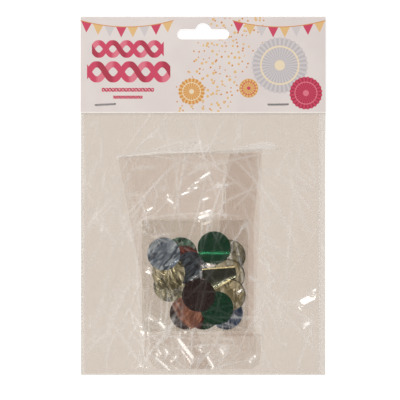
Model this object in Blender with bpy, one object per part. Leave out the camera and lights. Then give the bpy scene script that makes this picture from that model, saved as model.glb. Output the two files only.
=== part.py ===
"""A hang pack with a folded clear bubble balloon and a sachet of round foil confetti, in metres.

It lies on its back: +Z is up, the header card is at +Y, and the origin is under its middle.
"""

import math

import bmesh
import bpy

# The pack and its header card
PACK_WIDTH = 0.150
HEADER_HEIGHT = 0.0589
CARD_THICKNESS = 0.00035
FOLD_STEPS = 8

# The hang slot: a long hole with round ends and a round rise in the middle of its upper edge
SLOT_LENGTH = 0.032
SLOT_HEIGHT = 0.0065
SLOT_RISE = 0.0037
RISE_RADIUS = 0.0050
SLOT_BELOW_TOP = 0.0037
ROUND_STEPS = 10

# The bag
BAG_FILM = 0.00006
LEFT_WELD = 0.0015
RIGHT_WELD = 0.0040
BOTTOM_WELD = 0.0010
MOUTH_BELOW_SLOT = 0.0080
BAG_CELL = 0.009
BAG_RUN_OUT = 0.015

# The staples, of flat wire
STAPLE_CROWN = 0.0127
WIRE_THICKNESS = 0.0005
WIRE_WIDTH = 0.0007
WIRE_BEND = 0.0005
CLINCH_LENGTH = 0.0050
STAPLE_ABOVE_EDGE = 0.0052
LEFT_STAPLE_INSET = 0.0152
RIGHT_STAPLE_INSET = 0.0290
LEFT_STAPLE_TURN = math.radians(3.0)
RIGHT_STAPLE_TURN = math.radians(1.0)
STAPLE_ABOVE_GROUND = 0.00005

# The balloon: a flat disc folded once across and then in thirds, so each leaf is four films
BALLOON_RADIUS = 0.133
BALLOON_FILM = 0.0001
FILMS_PER_LEAF = 4
BALLOON_BELOW_CARD = 0.0244
BALLOON_ABOVE_BOTTOM = 0.0033
BALLOON_SIDEWAYS = 0.38
LEFT_TAPER = 0.0170
RIGHT_TAPER = 0.0040
TAPER_SHARE = 0.65
TIP_SHARE = 0.965
NECK_WIDTH = 0.0120
NECK_LENGTH = 0.0280
NECK_SLANT = 0.35
BALLOON_ROWS = 7
LEAF_COLUMNS = 7

# The sachet
SACHET_WIDTH = 0.0650
SACHET_HEIGHT = 0.0693
SACHET_FILM = 0.00005
SACHET_WELD = 0.0008
SACHET_SIDEWAYS = 0.63
SACHET_DOWN = 0.637
SACHET_CELL = 0.0050

# The confetti
DISC_RADIUS = 0.0101
FOIL = 0.00006
FOIL_GAP = 0.0001
DISC_SIDES = 28
HEAP_MARGIN = 0.0008
CURL_HALF_WIDTH = 0.0059
CURL_HEIGHT = 0.0018
CURL_ANGLE = math.radians(115.0)
CURL_TURN = math.radians(14.0)
CURL_STEPS = 7

# Loose fits: between films and card, round a wire in its hole, and beside a folded edge
CLEARANCE = 0.0002
EDGE_ROOM = 0.0010

# From the bottom of the heap to its top: a name, the place as shares of the room across and up, and a colour
CONFETTI = [
    ("confetti_gold_upper", 1.00, 0.76, "gold"),
    ("confetti_blue_lower", 0.96, 0.00, "blue"),
    ("confetti_gold_middle", 0.99, 0.50, "gold"),
    ("confetti_gold_lower", 1.00, 0.24, "gold"),
    ("confetti_green_left", 0.29, 0.79, "green"),
    ("confetti_silver", 0.13, 0.37, "silver"),
    ("confetti_navy", 0.44, 0.60, "blue"),
    ("confetti_red_left", 0.34, 0.68, "red"),
    ("confetti_gold_left", 0.11, 0.53, "gold"),
    ("confetti_red_lower", 0.62, 0.00, "red"),
    ("confetti_copper", 0.37, 0.00, "copper"),
    ("confetti_green_lower", 0.82, 0.07, "green"),
    ("confetti_green_upper", 0.78, 0.87, "green"),
    ("confetti_maroon", 0.55, 0.24, "maroon"),
    ("confetti_blue_upper", 0.04, 0.79, "blue"),
]
CURLED_DISC = ("confetti_gold_curled", 0.87, 0.49, "gold")

COLOURS = {
    "card": ((0.74, 0.66, 0.62), 0.45, 0.0, 1.0),
    "clear film": ((0.86, 0.82, 0.78), 0.12, 0.0, 0.25),
    "balloon film": ((0.80, 0.72, 0.68), 0.18, 0.0, 0.35),
    "steel": ((0.55, 0.54, 0.54), 0.30, 1.0, 1.0),
    "gold": ((0.55, 0.42, 0.14), 0.22, 1.0, 1.0),
    "green": ((0.01, 0.16, 0.06), 0.22, 1.0, 1.0),
    "blue": ((0.12, 0.18, 0.32), 0.25, 1.0, 1.0),
    "red": ((0.32, 0.03, 0.04), 0.22, 1.0, 1.0),
    "maroon": ((0.05, 0.02, 0.02), 0.22, 1.0, 1.0),
    "copper": ((0.40, 0.16, 0.10), 0.25, 1.0, 1.0),
    "silver": ((0.42, 0.46, 0.44), 0.25, 1.0, 1.0),
}

# Levels, from the ground up
BALLOON_LEAF = BALLOON_FILM * FILMS_PER_LEAF
LEAF_PITCH = BALLOON_LEAF + CLEARANCE
BALLOON_FLOOR = BAG_FILM + CLEARANCE
BALLOON_TOP = BALLOON_FLOOR + 2 * LEAF_PITCH + BALLOON_LEAF
SACHET_FLOOR = BALLOON_TOP + CLEARANCE
HEAP_FLOOR = SACHET_FLOOR + SACHET_FILM + CLEARANCE
BACK_PANEL = STAPLE_ABOVE_GROUND + WIRE_THICKNESS + CLEARANCE
BAG_UNDER_CARD = BACK_PANEL + CARD_THICKNESS + CLEARANCE
FRONT_PANEL = BAG_UNDER_CARD + 2 * BAG_FILM + 2 * CLEARANCE
CROWN_LEVEL = FRONT_PANEL + CARD_THICKNESS + CLEARANCE

# Places along the pack, which is as long as its header, the balloon and their margins
PACK_HEIGHT = HEADER_HEIGHT + BALLOON_BELOW_CARD + BALLOON_RADIUS + BALLOON_ABOVE_BOTTOM
PACK_TOP = PACK_HEIGHT / 2
PACK_BOTTOM = -PACK_HEIGHT / 2
CARD_EDGE = PACK_TOP - HEADER_HEIGHT
SLOT_TOP = PACK_TOP - SLOT_BELOW_TOP - SLOT_RISE
SLOT_MIDDLE = SLOT_TOP - SLOT_HEIGHT / 2
BAG_MOUTH = SLOT_TOP - SLOT_HEIGHT - MOUTH_BELOW_SLOT
BALLOON_EDGE = CARD_EDGE - BALLOON_BELOW_CARD
BALLOON_RIM = PACK_BOTTOM + BALLOON_ABOVE_BOTTOM

# Places across the pack
WELD_LEFT = -PACK_WIDTH / 2 + LEFT_WELD
WELD_RIGHT = PACK_WIDTH / 2 - RIGHT_WELD
STRIP_WIDTH = BALLOON_RADIUS * 2 / 3
STRIP_LEFT = WELD_LEFT + BALLOON_SIDEWAYS * (WELD_RIGHT - WELD_LEFT - STRIP_WIDTH)
STRIP_RIGHT = STRIP_LEFT + STRIP_WIDTH
SACHET_LEFT = STRIP_LEFT + SACHET_SIDEWAYS * (STRIP_WIDTH - SACHET_WIDTH)
SACHET_RIGHT = SACHET_LEFT + SACHET_WIDTH
SACHET_MOUTH = BALLOON_EDGE - SACHET_DOWN * (BALLOON_RADIUS - SACHET_HEIGHT)
SACHET_BOTTOM = SACHET_MOUTH - SACHET_HEIGHT


def clear_scene():
    for item in list(bpy.data.objects):
        bpy.data.objects.remove(item, do_unlink=True)


def make_material(name):
    colour, roughness, metallic, alpha = COLOURS[name]
    material = bpy.data.materials.new(name)
    material.use_nodes = True
    shader = material.node_tree.nodes["Principled BSDF"]
    shader.inputs["Base Color"].default_value = (*colour, 1.0)
    shader.inputs["Roughness"].default_value = roughness
    shader.inputs["Metallic"].default_value = metallic
    shader.inputs["Alpha"].default_value = alpha
    return material


def add_object(name, mesh, material, parent, location=(0, 0, 0), turn=0.0):
    item = bpy.data.objects.new(name, mesh)
    bpy.context.scene.collection.objects.link(item)
    mesh.materials.append(material)
    mesh.shade_smooth()
    mesh.set_sharp_from_angle(angle=math.radians(35))
    item.parent = parent
    item.location = location
    item.rotation_euler = (0, 0, turn)
    return item


def add_thickness(item, thickness):
    """A solid from the middle surface of a sheet."""
    solidify = item.modifiers.new("thickness", "SOLIDIFY")
    solidify.thickness = thickness
    solidify.offset = 0.0
    solidify.use_even_offset = True


def cut(item, cutters):
    for cutter in cutters:
        boolean = item.modifiers.new(cutter.name, "BOOLEAN")
        boolean.operation = "DIFFERENCE"
        boolean.object = cutter


def rounded_path(corners, radius, steps):
    """The points of a line through corners, with a round of this radius at each inner corner."""
    points = [corners[0]]
    for before, corner, after in zip(corners, corners[1:], corners[2:]):
        back = (before[0] - corner[0], before[1] - corner[1])
        ahead = (after[0] - corner[0], after[1] - corner[1])
        back_length, ahead_length = math.hypot(*back), math.hypot(*ahead)
        back = (back[0] / back_length, back[1] / back_length)
        ahead = (ahead[0] / ahead_length, ahead[1] / ahead_length)
        centre = (corner[0] + radius * (back[0] + ahead[0]), corner[1] + radius * (back[1] + ahead[1]))
        for step in range(steps + 1):
            angle = math.pi / 2 * step / steps
            away = (
                ahead[0] * math.cos(angle) + back[0] * math.sin(angle),
                ahead[1] * math.cos(angle) + back[1] * math.sin(angle),
            )
            points.append((centre[0] - radius * away[0], centre[1] - radius * away[1]))
    points.append(corners[-1])
    return points


def strip_mesh(name, path, half_width, place):
    """A strip along a path of (along, height) points; place turns (along, across, height) into a point."""
    mesh = bpy.data.meshes.new(name)
    points = []
    for along, height in path:
        points += [place(along, side * half_width, height) for side in (-1, 1)]
    faces = [(2 * i, 2 * i + 1, 2 * i + 3, 2 * i + 2) for i in range(len(path) - 1)]
    mesh.from_pydata(points, [], faces)
    return mesh


def sheet_mesh(name, point, cells):
    """A sheet of square cells given by their (column, row); point places the corner (column, row)."""
    mesh = bpy.data.meshes.new(name)
    corners = sorted({(c + i, r + j) for c, r in cells for i in (0, 1) for j in (0, 1)})
    index = {corner: number for number, corner in enumerate(corners)}
    faces = [[index[c, r], index[c + 1, r], index[c + 1, r + 1], index[c, r + 1]] for c, r in cells]
    mesh.from_pydata([point(c, r) for c, r in corners], [], faces)
    return mesh


def spread(stops, cell):
    """The stops, in order, with even steps of at most one cell between them."""
    stops = sorted(stops)
    places = [stops[0]]
    for start, end in zip(stops, stops[1:]):
        steps = max(1, math.ceil((end - start) / cell - 0.01))
        places += [start + (end - start) * (step + 1) / steps for step in range(steps)]
    return places


def pocket_mesh(name, columns, rows, film, back, room):
    """A flat bag of two films: its first and last cells are welded, and its last row is the open mouth.

    back(x, y) is the height of its underside and room(x, y) the space between the two films.
    """
    shape = bmesh.new()
    last_column, last_row = len(columns) - 1, len(rows) - 1
    grids = {"under": {}, "over": {}, "floor": {}, "ceiling": {}}
    for c, x in enumerate(columns):
        for r, y in enumerate(rows):
            inside = 1 < c < last_column - 1 and r > 1
            space = room(x, y) if inside else 0.0
            base = back(x, y)
            grids["under"][c, r] = shape.verts.new((x, y, base))
            grids["over"][c, r] = shape.verts.new((x, y, base + 2 * film + space))
            if 1 <= c <= last_column - 1 and r >= 1:
                grids["floor"][c, r] = shape.verts.new((x, y, base + film))
                on_weld = not inside
                ceiling = None if on_weld else shape.verts.new((x, y, base + film + space))
                grids["ceiling"][c, r] = ceiling or grids["floor"][c, r]

    def add_face(corners):
        corners = [corner for i, corner in enumerate(corners) if corner is not corners[i - 1]]
        shape.faces.new(corners)

    def add_cells(grid, up, first, stop_column, stop_row):
        for c in range(first, stop_column):
            for r in range(first, stop_row):
                ring = [grid[c, r], grid[c + 1, r], grid[c + 1, r + 1], grid[c, r + 1]]
                if (c, r) == (last_column - 2, 1):
                    # This cell has two sides on the weld, so its diagonal starts from the corner between them.
                    ring = [*ring[1:], ring[0]]
                add_face(ring if up else [ring[0], *reversed(ring[1:])])

    add_cells(grids["over"], True, 0, last_column, last_row)
    add_cells(grids["under"], False, 0, last_column, last_row)
    add_cells(grids["floor"], True, 1, last_column - 1, last_row)
    add_cells(grids["ceiling"], False, 1, last_column - 1, last_row)
    over, under = grids["over"], grids["under"]
    floor, ceiling = grids["floor"], grids["ceiling"]
    for r in range(last_row):
        add_face([under[0, r + 1], under[0, r], over[0, r], over[0, r + 1]])
        right = last_column
        add_face([under[right, r], under[right, r + 1], over[right, r + 1], over[right, r]])
    for c in range(last_column):
        add_face([under[c, 0], under[c + 1, 0], over[c + 1, 0], over[c, 0]])
    top, inner = last_row, last_column - 1
    for edge, weld, turned in ((0, 1, False), (last_column, inner, True)):
        corner = floor[weld, top]
        ends = [
            [under[edge, top], over[edge, top], corner],
            [over[edge, top], over[weld, top], corner],
            [corner, under[weld, top], under[edge, top]],
        ]
        for end in ends:
            add_face(end[::-1] if turned else end)
    for c in range(1, inner):
        add_face([over[c, top], over[c + 1, top], ceiling[c + 1, top], ceiling[c, top]])
        add_face([floor[c, top], floor[c + 1, top], under[c + 1, top], under[c, top]])
    bmesh.ops.triangulate(shape, faces=shape.faces[:], quad_method="FIXED")
    mesh = bpy.data.meshes.new(name)
    shape.to_mesh(mesh)
    shape.free()
    return mesh


def ramp(value, none, full):
    """0 at none and beyond it, 1 at full and beyond it, with a soft rise between them."""
    share = min(1.0, max(0.0, (value - none) / (full - none)))
    return share * share * (3 - 2 * share)


def add_cutter(name, mesh, location=(0, 0, 0), turn=0.0):
    cutter = bpy.data.objects.new(name, mesh)
    bpy.context.scene.collection.objects.link(cutter)
    cutter.location = location
    cutter.rotation_euler = (0, 0, turn)
    cutter.hide_render = True
    cutter.display_type = "WIRE"
    return cutter


def slot_cutter():
    """The outline of the hang slot, drawn anticlockwise and extruded through both panels."""
    end_radius = SLOT_HEIGHT / 2
    end_centre = SLOT_LENGTH / 2 - end_radius
    rise_centre = SLOT_TOP + SLOT_RISE - RISE_RADIUS
    start = math.asin((SLOT_TOP - rise_centre) / RISE_RADIUS)
    outline = []
    for side, first in ((1, -math.pi / 2), (-1, math.pi / 2)):
        for step in range(ROUND_STEPS + 1):
            angle = first + math.pi * step / ROUND_STEPS
            x = side * end_centre + end_radius * math.cos(angle)
            outline.append((x, SLOT_MIDDLE + end_radius * math.sin(angle)))
        if side == 1:
            for step in range(ROUND_STEPS + 1):
                angle = start + (math.pi - 2 * start) * step / ROUND_STEPS
                outline.append((RISE_RADIUS * math.cos(angle), rise_centre + RISE_RADIUS * math.sin(angle)))
    shape = bmesh.new()
    face = shape.faces.new([shape.verts.new((x, y, 0.0)) for x, y in outline])
    extruded = bmesh.ops.extrude_face_region(shape, geom=[face])
    moved = [item for item in extruded["geom"] if isinstance(item, bmesh.types.BMVert)]
    bmesh.ops.translate(shape, verts=moved, vec=(0, 0, 2 * CROWN_LEVEL))
    bmesh.ops.recalc_face_normals(shape, faces=shape.faces[:])
    mesh = bpy.data.meshes.new("slot cutter")
    shape.to_mesh(mesh)
    shape.free()
    return add_cutter("slot_cutter", mesh)


def staple_places():
    """The middle and the turn of each staple."""
    y = CARD_EDGE + STAPLE_ABOVE_EDGE
    return {
        "staple_left": (-PACK_WIDTH / 2 + LEFT_STAPLE_INSET, y, LEFT_STAPLE_TURN),
        "staple_right": (PACK_WIDTH / 2 - RIGHT_STAPLE_INSET, y, RIGHT_STAPLE_TURN),
    }


def leg_cutters():
    """One square hole for each staple leg, a clearance wider than the wire all round."""
    cutters = []
    for name, (x, y, turn) in staple_places().items():
        for side in (-1, 1):
            shape = bmesh.new()
            bmesh.ops.create_cube(shape, size=1.0)
            size = (WIRE_THICKNESS + 2 * CLEARANCE, WIRE_WIDTH + 2 * CLEARANCE, 4 * CROWN_LEVEL)
            bmesh.ops.scale(shape, verts=shape.verts[:], vec=size)
            offset = side * (STAPLE_CROWN - WIRE_THICKNESS) / 2
            bmesh.ops.translate(shape, verts=shape.verts[:], vec=(offset, 0, 0))
            mesh = bpy.data.meshes.new("leg cutter")
            shape.to_mesh(mesh)
            shape.free()
            cutters.append(add_cutter(f"{name}_hole_{side}", mesh, (x, y, 0), turn))
    return cutters


def header_card(parent, slot, holes):
    """One card folded over the mouth of the bag, with the hang slot through both panels."""
    low, high = BACK_PANEL + CARD_THICKNESS / 2, FRONT_PANEL + CARD_THICKNESS / 2
    top = PACK_TOP - CARD_THICKNESS / 2
    corners = [(CARD_EDGE, low), (top, low), (top, high), (CARD_EDGE, high)]
    path = rounded_path(corners, (high - low) / 2, FOLD_STEPS)
    mesh = strip_mesh("header card", path, PACK_WIDTH / 2, lambda y, x, z: (-x, y, z))
    item = add_object("header_card", mesh, make_material("card"), parent)
    add_thickness(item, CARD_THICKNESS)
    cut(item, [slot, *holes])


def staples(parent):
    """Wire staples, clinched behind the card."""
    steel = make_material("steel")
    reach = (STAPLE_CROWN - WIRE_THICKNESS) / 2
    low = STAPLE_ABOVE_GROUND + WIRE_THICKNESS / 2
    high = CROWN_LEVEL + WIRE_THICKNESS / 2
    corners = [(CLINCH_LENGTH - reach, low), (-reach, low), (-reach, high)]
    corners += [(-x, z) for x, z in reversed(corners)]
    path = rounded_path(corners, WIRE_BEND, FOLD_STEPS // 2)
    for name, (x, y, turn) in staple_places().items():
        mesh = strip_mesh(name, path, WIRE_WIDTH / 2, lambda along, across, z: (along, across, z))
        item = add_object(name, mesh, steel, parent, (x, y, 0), turn)
        add_thickness(item, WIRE_THICKNESS)


def bag(parent, holes):
    """The clear bag: it lies flat under the card and rises over the balloon, the sachet and the curled disc."""
    *flat, curl = heap_places()
    over_sachet = 2 * CLEARANCE + SACHET_FILM - BAG_FILM
    balloon_room = BALLOON_TOP + CLEARANCE - BAG_FILM
    sachet_room = max(place[4] for place in flat) + over_sachet
    curl_room = curl[4] + over_sachet
    strip = (STRIP_LEFT - LEAF_PITCH - EDGE_ROOM, STRIP_RIGHT + LEAF_PITCH + EDGE_ROOM)
    packet = (SACHET_LEFT - EDGE_ROOM, SACHET_RIGHT + EDGE_ROOM)
    balloon_ends = (BALLOON_RIM - EDGE_ROOM, BALLOON_EDGE + EDGE_ROOM)
    packet_ends = (SACHET_BOTTOM - EDGE_ROOM, SACHET_MOUTH + EDGE_ROOM)
    bottom = PACK_BOTTOM + BOTTOM_WELD
    cell_reach = (SACHET_CELL + BAG_CELL) * math.sqrt(2)

    def tent(x, y, sides, ends):
        across = ramp(x, WELD_LEFT, sides[0]) * ramp(x, WELD_RIGHT, sides[1])
        return across * ramp(y, bottom, ends[0]) * ramp(y, CARD_EDGE - EDGE_ROOM, ends[1])

    def back(x, y):
        return BAG_UNDER_CARD * (1 - ramp(y, CARD_EDGE - EDGE_ROOM, balloon_ends[1]))

    def room(x, y):
        space = CLEARANCE + (balloon_room - CLEARANCE) * tent(x, y, strip, balloon_ends)
        over_packet = tent(x, y, packet, packet_ends)
        over_curl = ramp(beyond_curl(x, y), cell_reach + BAG_RUN_OUT, cell_reach)
        space += (sachet_room - balloon_room) * over_packet
        return space + (curl_room - sachet_room) * over_packet * over_curl

    columns = spread([-PACK_WIDTH / 2, WELD_LEFT, *strip, *packet, WELD_RIGHT, PACK_WIDTH / 2], BAG_CELL)
    rows = [PACK_BOTTOM, bottom, *balloon_ends, *packet_ends, CARD_EDGE - EDGE_ROOM, BAG_MOUTH]
    mesh = pocket_mesh("bag", columns, spread(rows, BAG_CELL), BAG_FILM, back, room)
    item = add_object("bag", mesh, make_material("clear film"), parent)
    cut(item, holes)


def strip_sides(y):
    """Where the balloon's two folded edges lie at a place along the pack."""
    share = (BALLOON_EDGE - y) / BALLOON_RADIUS
    inward = min(1.0, share / TAPER_SHARE)
    return STRIP_LEFT + LEFT_TAPER * inward, STRIP_RIGHT - RIGHT_TAPER * inward


def balloon_columns():
    """(place across the flat disc, share across the strip, step outside it, height) along the folded film."""
    third, tip = BALLOON_RADIUS / 3, TIP_SHARE * BALLOON_RADIUS
    lowest = BALLOON_FLOOR + BALLOON_LEAF / 2
    middle, highest = lowest + LEAF_PITCH, lowest + 2 * LEAF_PITCH
    columns = []
    for step in range(LEAF_COLUMNS, 0, -1):
        flat = third + (tip - third) * step / LEAF_COLUMNS
        columns.append((-flat, (flat - third) / (2 * third), 0.0, highest))
    for step in range(FOLD_STEPS + 1):
        angle = math.pi * step / FOLD_STEPS
        height = middle + LEAF_PITCH * math.cos(angle)
        columns.append((-third, 0.0, -LEAF_PITCH * math.sin(angle), height))
    neck = NECK_WIDTH / 2
    for flat in spread([-third, -neck, neck, third], 2 * third / LEAF_COLUMNS)[1:-1]:
        columns.append((flat, (flat + third) / (2 * third), 0.0, lowest))
    for step in range(FOLD_STEPS + 1):
        angle = math.pi * step / FOLD_STEPS
        height = (lowest + middle) / 2 - LEAF_PITCH / 2 * math.cos(angle)
        columns.append((third, 1.0, LEAF_PITCH / 2 * math.sin(angle), height))
    for step in range(1, LEAF_COLUMNS + 1):
        flat = third + (tip - third) * step / LEAF_COLUMNS
        columns.append((flat, 1 - (flat - third) / (2 * third), 0.0, middle))
    return columns


def balloon(parent):
    """The folded balloon, with its filling neck turned up over its lowest leaf."""
    columns = balloon_columns()
    bend = LEAF_PITCH / 2

    def on_strip(flat, share, outside, height, drop):
        y = BALLOON_EDGE - drop * math.sqrt(BALLOON_RADIUS**2 - flat**2)
        left, right = strip_sides(y)
        return (left + (right - left) * share + outside, y, height)

    def point(column, row):
        flat, share, outside, height = columns[column]
        x, y, z = on_strip(flat, share, outside, height, min(row, BALLOON_ROWS) / BALLOON_ROWS)
        if row <= BALLOON_ROWS:
            return (x, y, z)
        turned = min(row - BALLOON_ROWS, FOLD_STEPS) / FOLD_STEPS * math.pi
        run = max(0, row - BALLOON_ROWS - FOLD_STEPS) / 3 * NECK_LENGTH
        y += run - bend * math.sin(turned)
        return (x - NECK_SLANT * run, y, z + bend * (1 - math.cos(turned)))

    cells = [(c, r) for c in range(len(columns) - 1) for r in range(BALLOON_ROWS)]
    for c in range(len(columns) - 1):
        across = (columns[c][0] + columns[c + 1][0]) / 2
        if abs(across) < NECK_WIDTH / 2:
            cells += [(c, BALLOON_ROWS + r) for r in range(FOLD_STEPS + 3)]
    item = add_object("balloon", sheet_mesh("balloon", point, cells), make_material("balloon film"), parent)
    add_thickness(item, BALLOON_LEAF)


def heap_places():
    """Where each disc lies: a name, x, y, its underside, its top and its colour, each on those below it."""
    side = SACHET_WELD + HEAP_MARGIN + DISC_RADIUS
    left, right = SACHET_LEFT + side, SACHET_RIGHT - side
    low, high = SACHET_BOTTOM + side, SACHET_MOUTH - side
    places = []
    for name, across, up, colour in [*CONFETTI, CURLED_DISC]:
        x, y = left + across * (right - left), low + up * (high - low)
        under = [p[4] for p in places if math.hypot(x - p[1], y - p[2]) < 2 * DISC_RADIUS + CLEARANCE]
        base = max([top + FOIL_GAP for top in under], default=HEAP_FLOOR)
        height = CURL_HEIGHT * (1 - math.cos(CURL_ANGLE)) + 2 * FOIL if name == CURLED_DISC[0] else FOIL
        places.append((name, x, y, base, base + height, colour))
    return places


def beyond_curl(x, y):
    """How far a place lies outside the curled disc, seen from above."""
    _, middle_x, middle_y, _, _, _ = heap_places()[-1]
    x, y = x - middle_x, y - middle_y
    along = abs(x * math.cos(CURL_TURN) + y * math.sin(CURL_TURN))
    across = abs(y * math.cos(CURL_TURN) - x * math.sin(CURL_TURN))
    return math.hypot(max(0.0, along - DISC_RADIUS), max(0.0, across - CURL_HALF_WIDTH))


def disc_mesh(name):
    shape = bmesh.new()
    bmesh.ops.create_cone(
        shape, cap_ends=True, segments=DISC_SIDES, radius1=DISC_RADIUS, radius2=DISC_RADIUS, depth=FOIL
    )
    bmesh.ops.translate(shape, verts=shape.verts[:], vec=(0, 0, FOIL / 2))
    mesh = bpy.data.meshes.new(name)
    shape.to_mesh(mesh)
    shape.free()
    return mesh


def curled_mesh(name):
    """A round disc whose two sides have rolled up towards each other."""

    def point(column, row):
        angle = math.radians(80) * (row / CURL_STEPS - 1)
        rolled = CURL_ANGLE * math.sin(angle)
        along = (column - 1) * DISC_RADIUS * math.cos(angle)
        return (along, CURL_HALF_WIDTH * math.sin(rolled), FOIL + CURL_HEIGHT * (1 - math.cos(rolled)))

    return sheet_mesh(name, point, [(c, r) for c in range(2) for r in range(2 * CURL_STEPS)])


def confetti(parent):
    foils = {colour: make_material(colour) for colour in sorted({entry[3] for entry in CONFETTI})}
    for name, x, y, base, _, colour in heap_places():
        if name == CURLED_DISC[0]:
            item = add_object(name, curled_mesh(name), foils[colour], parent, (x, y, base), CURL_TURN)
            add_thickness(item, FOIL)
        else:
            add_object(name, disc_mesh(name), foils[colour], parent, (x, y, base))


def sachet(parent):
    """The small bag of confetti: its upper film drapes over the heap."""
    *flat, curl = heap_places()
    weld, rim = SACHET_WELD, SACHET_WELD + HEAP_MARGIN / 2
    cell_reach = SACHET_CELL * math.sqrt(2)

    def back(x, y):
        return SACHET_FLOOR

    def room(x, y):
        tops = [p[4] for p in flat if math.hypot(x - p[1], y - p[2]) < DISC_RADIUS + cell_reach]
        if beyond_curl(x, y) < cell_reach:
            tops.append(curl[4])
        return max(tops, default=HEAP_FLOOR) + CLEARANCE - SACHET_FLOOR - SACHET_FILM

    sides = [SACHET_LEFT, SACHET_LEFT + weld, SACHET_LEFT + rim]
    sides += [SACHET_RIGHT - rim, SACHET_RIGHT - weld, SACHET_RIGHT]
    ends = [SACHET_BOTTOM, SACHET_BOTTOM + weld, SACHET_BOTTOM + rim, SACHET_MOUTH]
    columns, rows = spread(sides, SACHET_CELL), spread(ends, SACHET_CELL)
    mesh = pocket_mesh("confetti sachet", columns, rows, SACHET_FILM, back, room)
    add_object("confetti_sachet", mesh, make_material("clear film"), parent)


def main():
    clear_scene()
    pack = bpy.data.objects.new("pack", None)
    bpy.context.scene.collection.objects.link(pack)
    slot, holes = slot_cutter(), leg_cutters()
    header_card(pack, slot, holes)
    staples(pack)
    balloon(pack)
    confetti(pack)
    sachet(pack)
    bag(pack, holes)


main()
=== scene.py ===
import math

import bpy
import numpy as np
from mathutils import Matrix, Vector


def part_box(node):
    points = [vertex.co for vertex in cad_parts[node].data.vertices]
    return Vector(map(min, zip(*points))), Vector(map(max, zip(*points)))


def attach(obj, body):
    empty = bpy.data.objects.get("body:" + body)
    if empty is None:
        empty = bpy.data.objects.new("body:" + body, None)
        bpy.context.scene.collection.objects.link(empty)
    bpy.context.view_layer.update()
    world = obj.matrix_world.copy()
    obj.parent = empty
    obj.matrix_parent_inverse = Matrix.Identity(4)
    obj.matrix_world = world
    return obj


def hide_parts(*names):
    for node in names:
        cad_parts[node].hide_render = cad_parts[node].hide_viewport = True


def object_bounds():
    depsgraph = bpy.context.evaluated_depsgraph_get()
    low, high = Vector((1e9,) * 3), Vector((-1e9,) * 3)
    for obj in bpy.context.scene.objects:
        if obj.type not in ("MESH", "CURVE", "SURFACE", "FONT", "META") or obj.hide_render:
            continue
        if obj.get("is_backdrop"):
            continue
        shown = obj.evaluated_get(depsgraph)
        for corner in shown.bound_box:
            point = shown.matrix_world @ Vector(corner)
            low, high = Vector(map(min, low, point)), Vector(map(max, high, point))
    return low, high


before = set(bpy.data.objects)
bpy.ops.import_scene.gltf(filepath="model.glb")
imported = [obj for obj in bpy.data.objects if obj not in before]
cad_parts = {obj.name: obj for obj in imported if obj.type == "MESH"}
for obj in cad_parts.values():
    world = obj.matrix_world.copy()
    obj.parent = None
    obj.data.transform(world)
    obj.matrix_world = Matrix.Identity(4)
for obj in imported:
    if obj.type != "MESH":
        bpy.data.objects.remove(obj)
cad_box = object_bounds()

# The foil confetti: round discs punched from thin metallised film, loose in the sachet.
# Each one has settled on those under it, so it leans with them, takes the print of their edges, and keeps
# the creases of its own handling. One has rolled up into an open curl on top of the heap.
MM = 0.001
FOIL = 0.06 * MM
FOIL_GAP = 0.03 * MM
DISC_RINGS, DISC_SPOKES = 30, 84


class Socket:
    """One output of a material's node tree. Sums on it add Math nodes."""

    def __init__(self, tree, output=None):
        self.tree, self.output = tree, output

    def add(self, kind, settings, sockets, output=0):
        """Adds a node with these settings and socket values or links, and gives one of its outputs."""
        node = self.tree.nodes.new("ShaderNode" + kind)
        for name, value in settings.items():
            if name == "stops":
                while len(node.color_ramp.elements) < len(value):
                    node.color_ramp.elements.new(1.0)
                for stop, (place, colour) in zip(node.color_ramp.elements, value):
                    stop.position, stop.color = place, (*colour, 1.0)
            else:
                setattr(node, name, value)
        for name, value in sockets.items():
            if isinstance(value, Socket):
                self.tree.links.new(value.output, node.inputs[name])
            else:
                node.inputs[name].default_value = value
        return Socket(self.tree, node.outputs[output] if node.outputs else None)

    def maths(self, operation, *values):
        return self.add("Math", {"operation": operation}, dict(enumerate(values)))

    def __add__(self, other):
        return self.maths("ADD", self, other)

    def __sub__(self, other):
        return self.maths("SUBTRACT", self, other)

    def __rsub__(self, other):
        return self.maths("SUBTRACT", other, self)

    def __mul__(self, other):
        return self.maths("MULTIPLY", self, other)

    def __truediv__(self, other):
        return self.maths("DIVIDE", self, other)

    def __gt__(self, other):
        return self.maths("GREATER_THAN", self, other)

    def __abs__(self):
        return self.maths("ABSOLUTE", self)

    def rise(self, none, full, low=0.0, high=1.0):
        """low where this is none, high where it is full, and a smooth change between them."""
        limits = {"From Min": none, "From Max": full, "To Min": low, "To Max": high}
        return self.add("MapRange", {"interpolation_type": "SMOOTHSTEP"}, {"Value": self, **limits})

    def mix(self, first, second):
        """The first colour where this is 0, the second where it is 1."""
        pair = {6: first if isinstance(first, Socket) else (*first, 1.0)}
        pair[7] = second if isinstance(second, Socket) else (*second, 1.0)
        return self.add("Mix", {"data_type": "RGBA"}, {0: self, **pair}, 2)

    def noise(self, place, size, detail=2.0, output=0):
        """Soft random values between 0 and 1, whose lumps are about this size."""
        sockets = {"Vector": place, "Scale": 1.0 / size, "Detail": detail, "Roughness": 0.55}
        return self.add("TexNoise", {}, sockets, output)


def start_material(name):
    """A material with an empty tree, its first socket and the piece's own coordinates."""
    material = bpy.data.materials.new(name)
    material.use_nodes = True
    material.node_tree.nodes.clear()
    tree = Socket(material.node_tree)
    return material, tree, tree.add("TexCoord", {}, {}, "Object")


def shine(tree, settings, bumps=()):
    """A Principled shader over the bumps, each a height with its depth in metres."""
    normal = None
    for height, depth in bumps:
        sockets = {"Height": height, "Distance": depth, "Strength": 1.0}
        if normal:
            sockets["Normal"] = normal
        normal = tree.add("Bump", {}, sockets)
    if normal:
        settings = {**settings, "Normal": normal}
    return tree.add("BsdfPrincipled", {}, settings)


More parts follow.
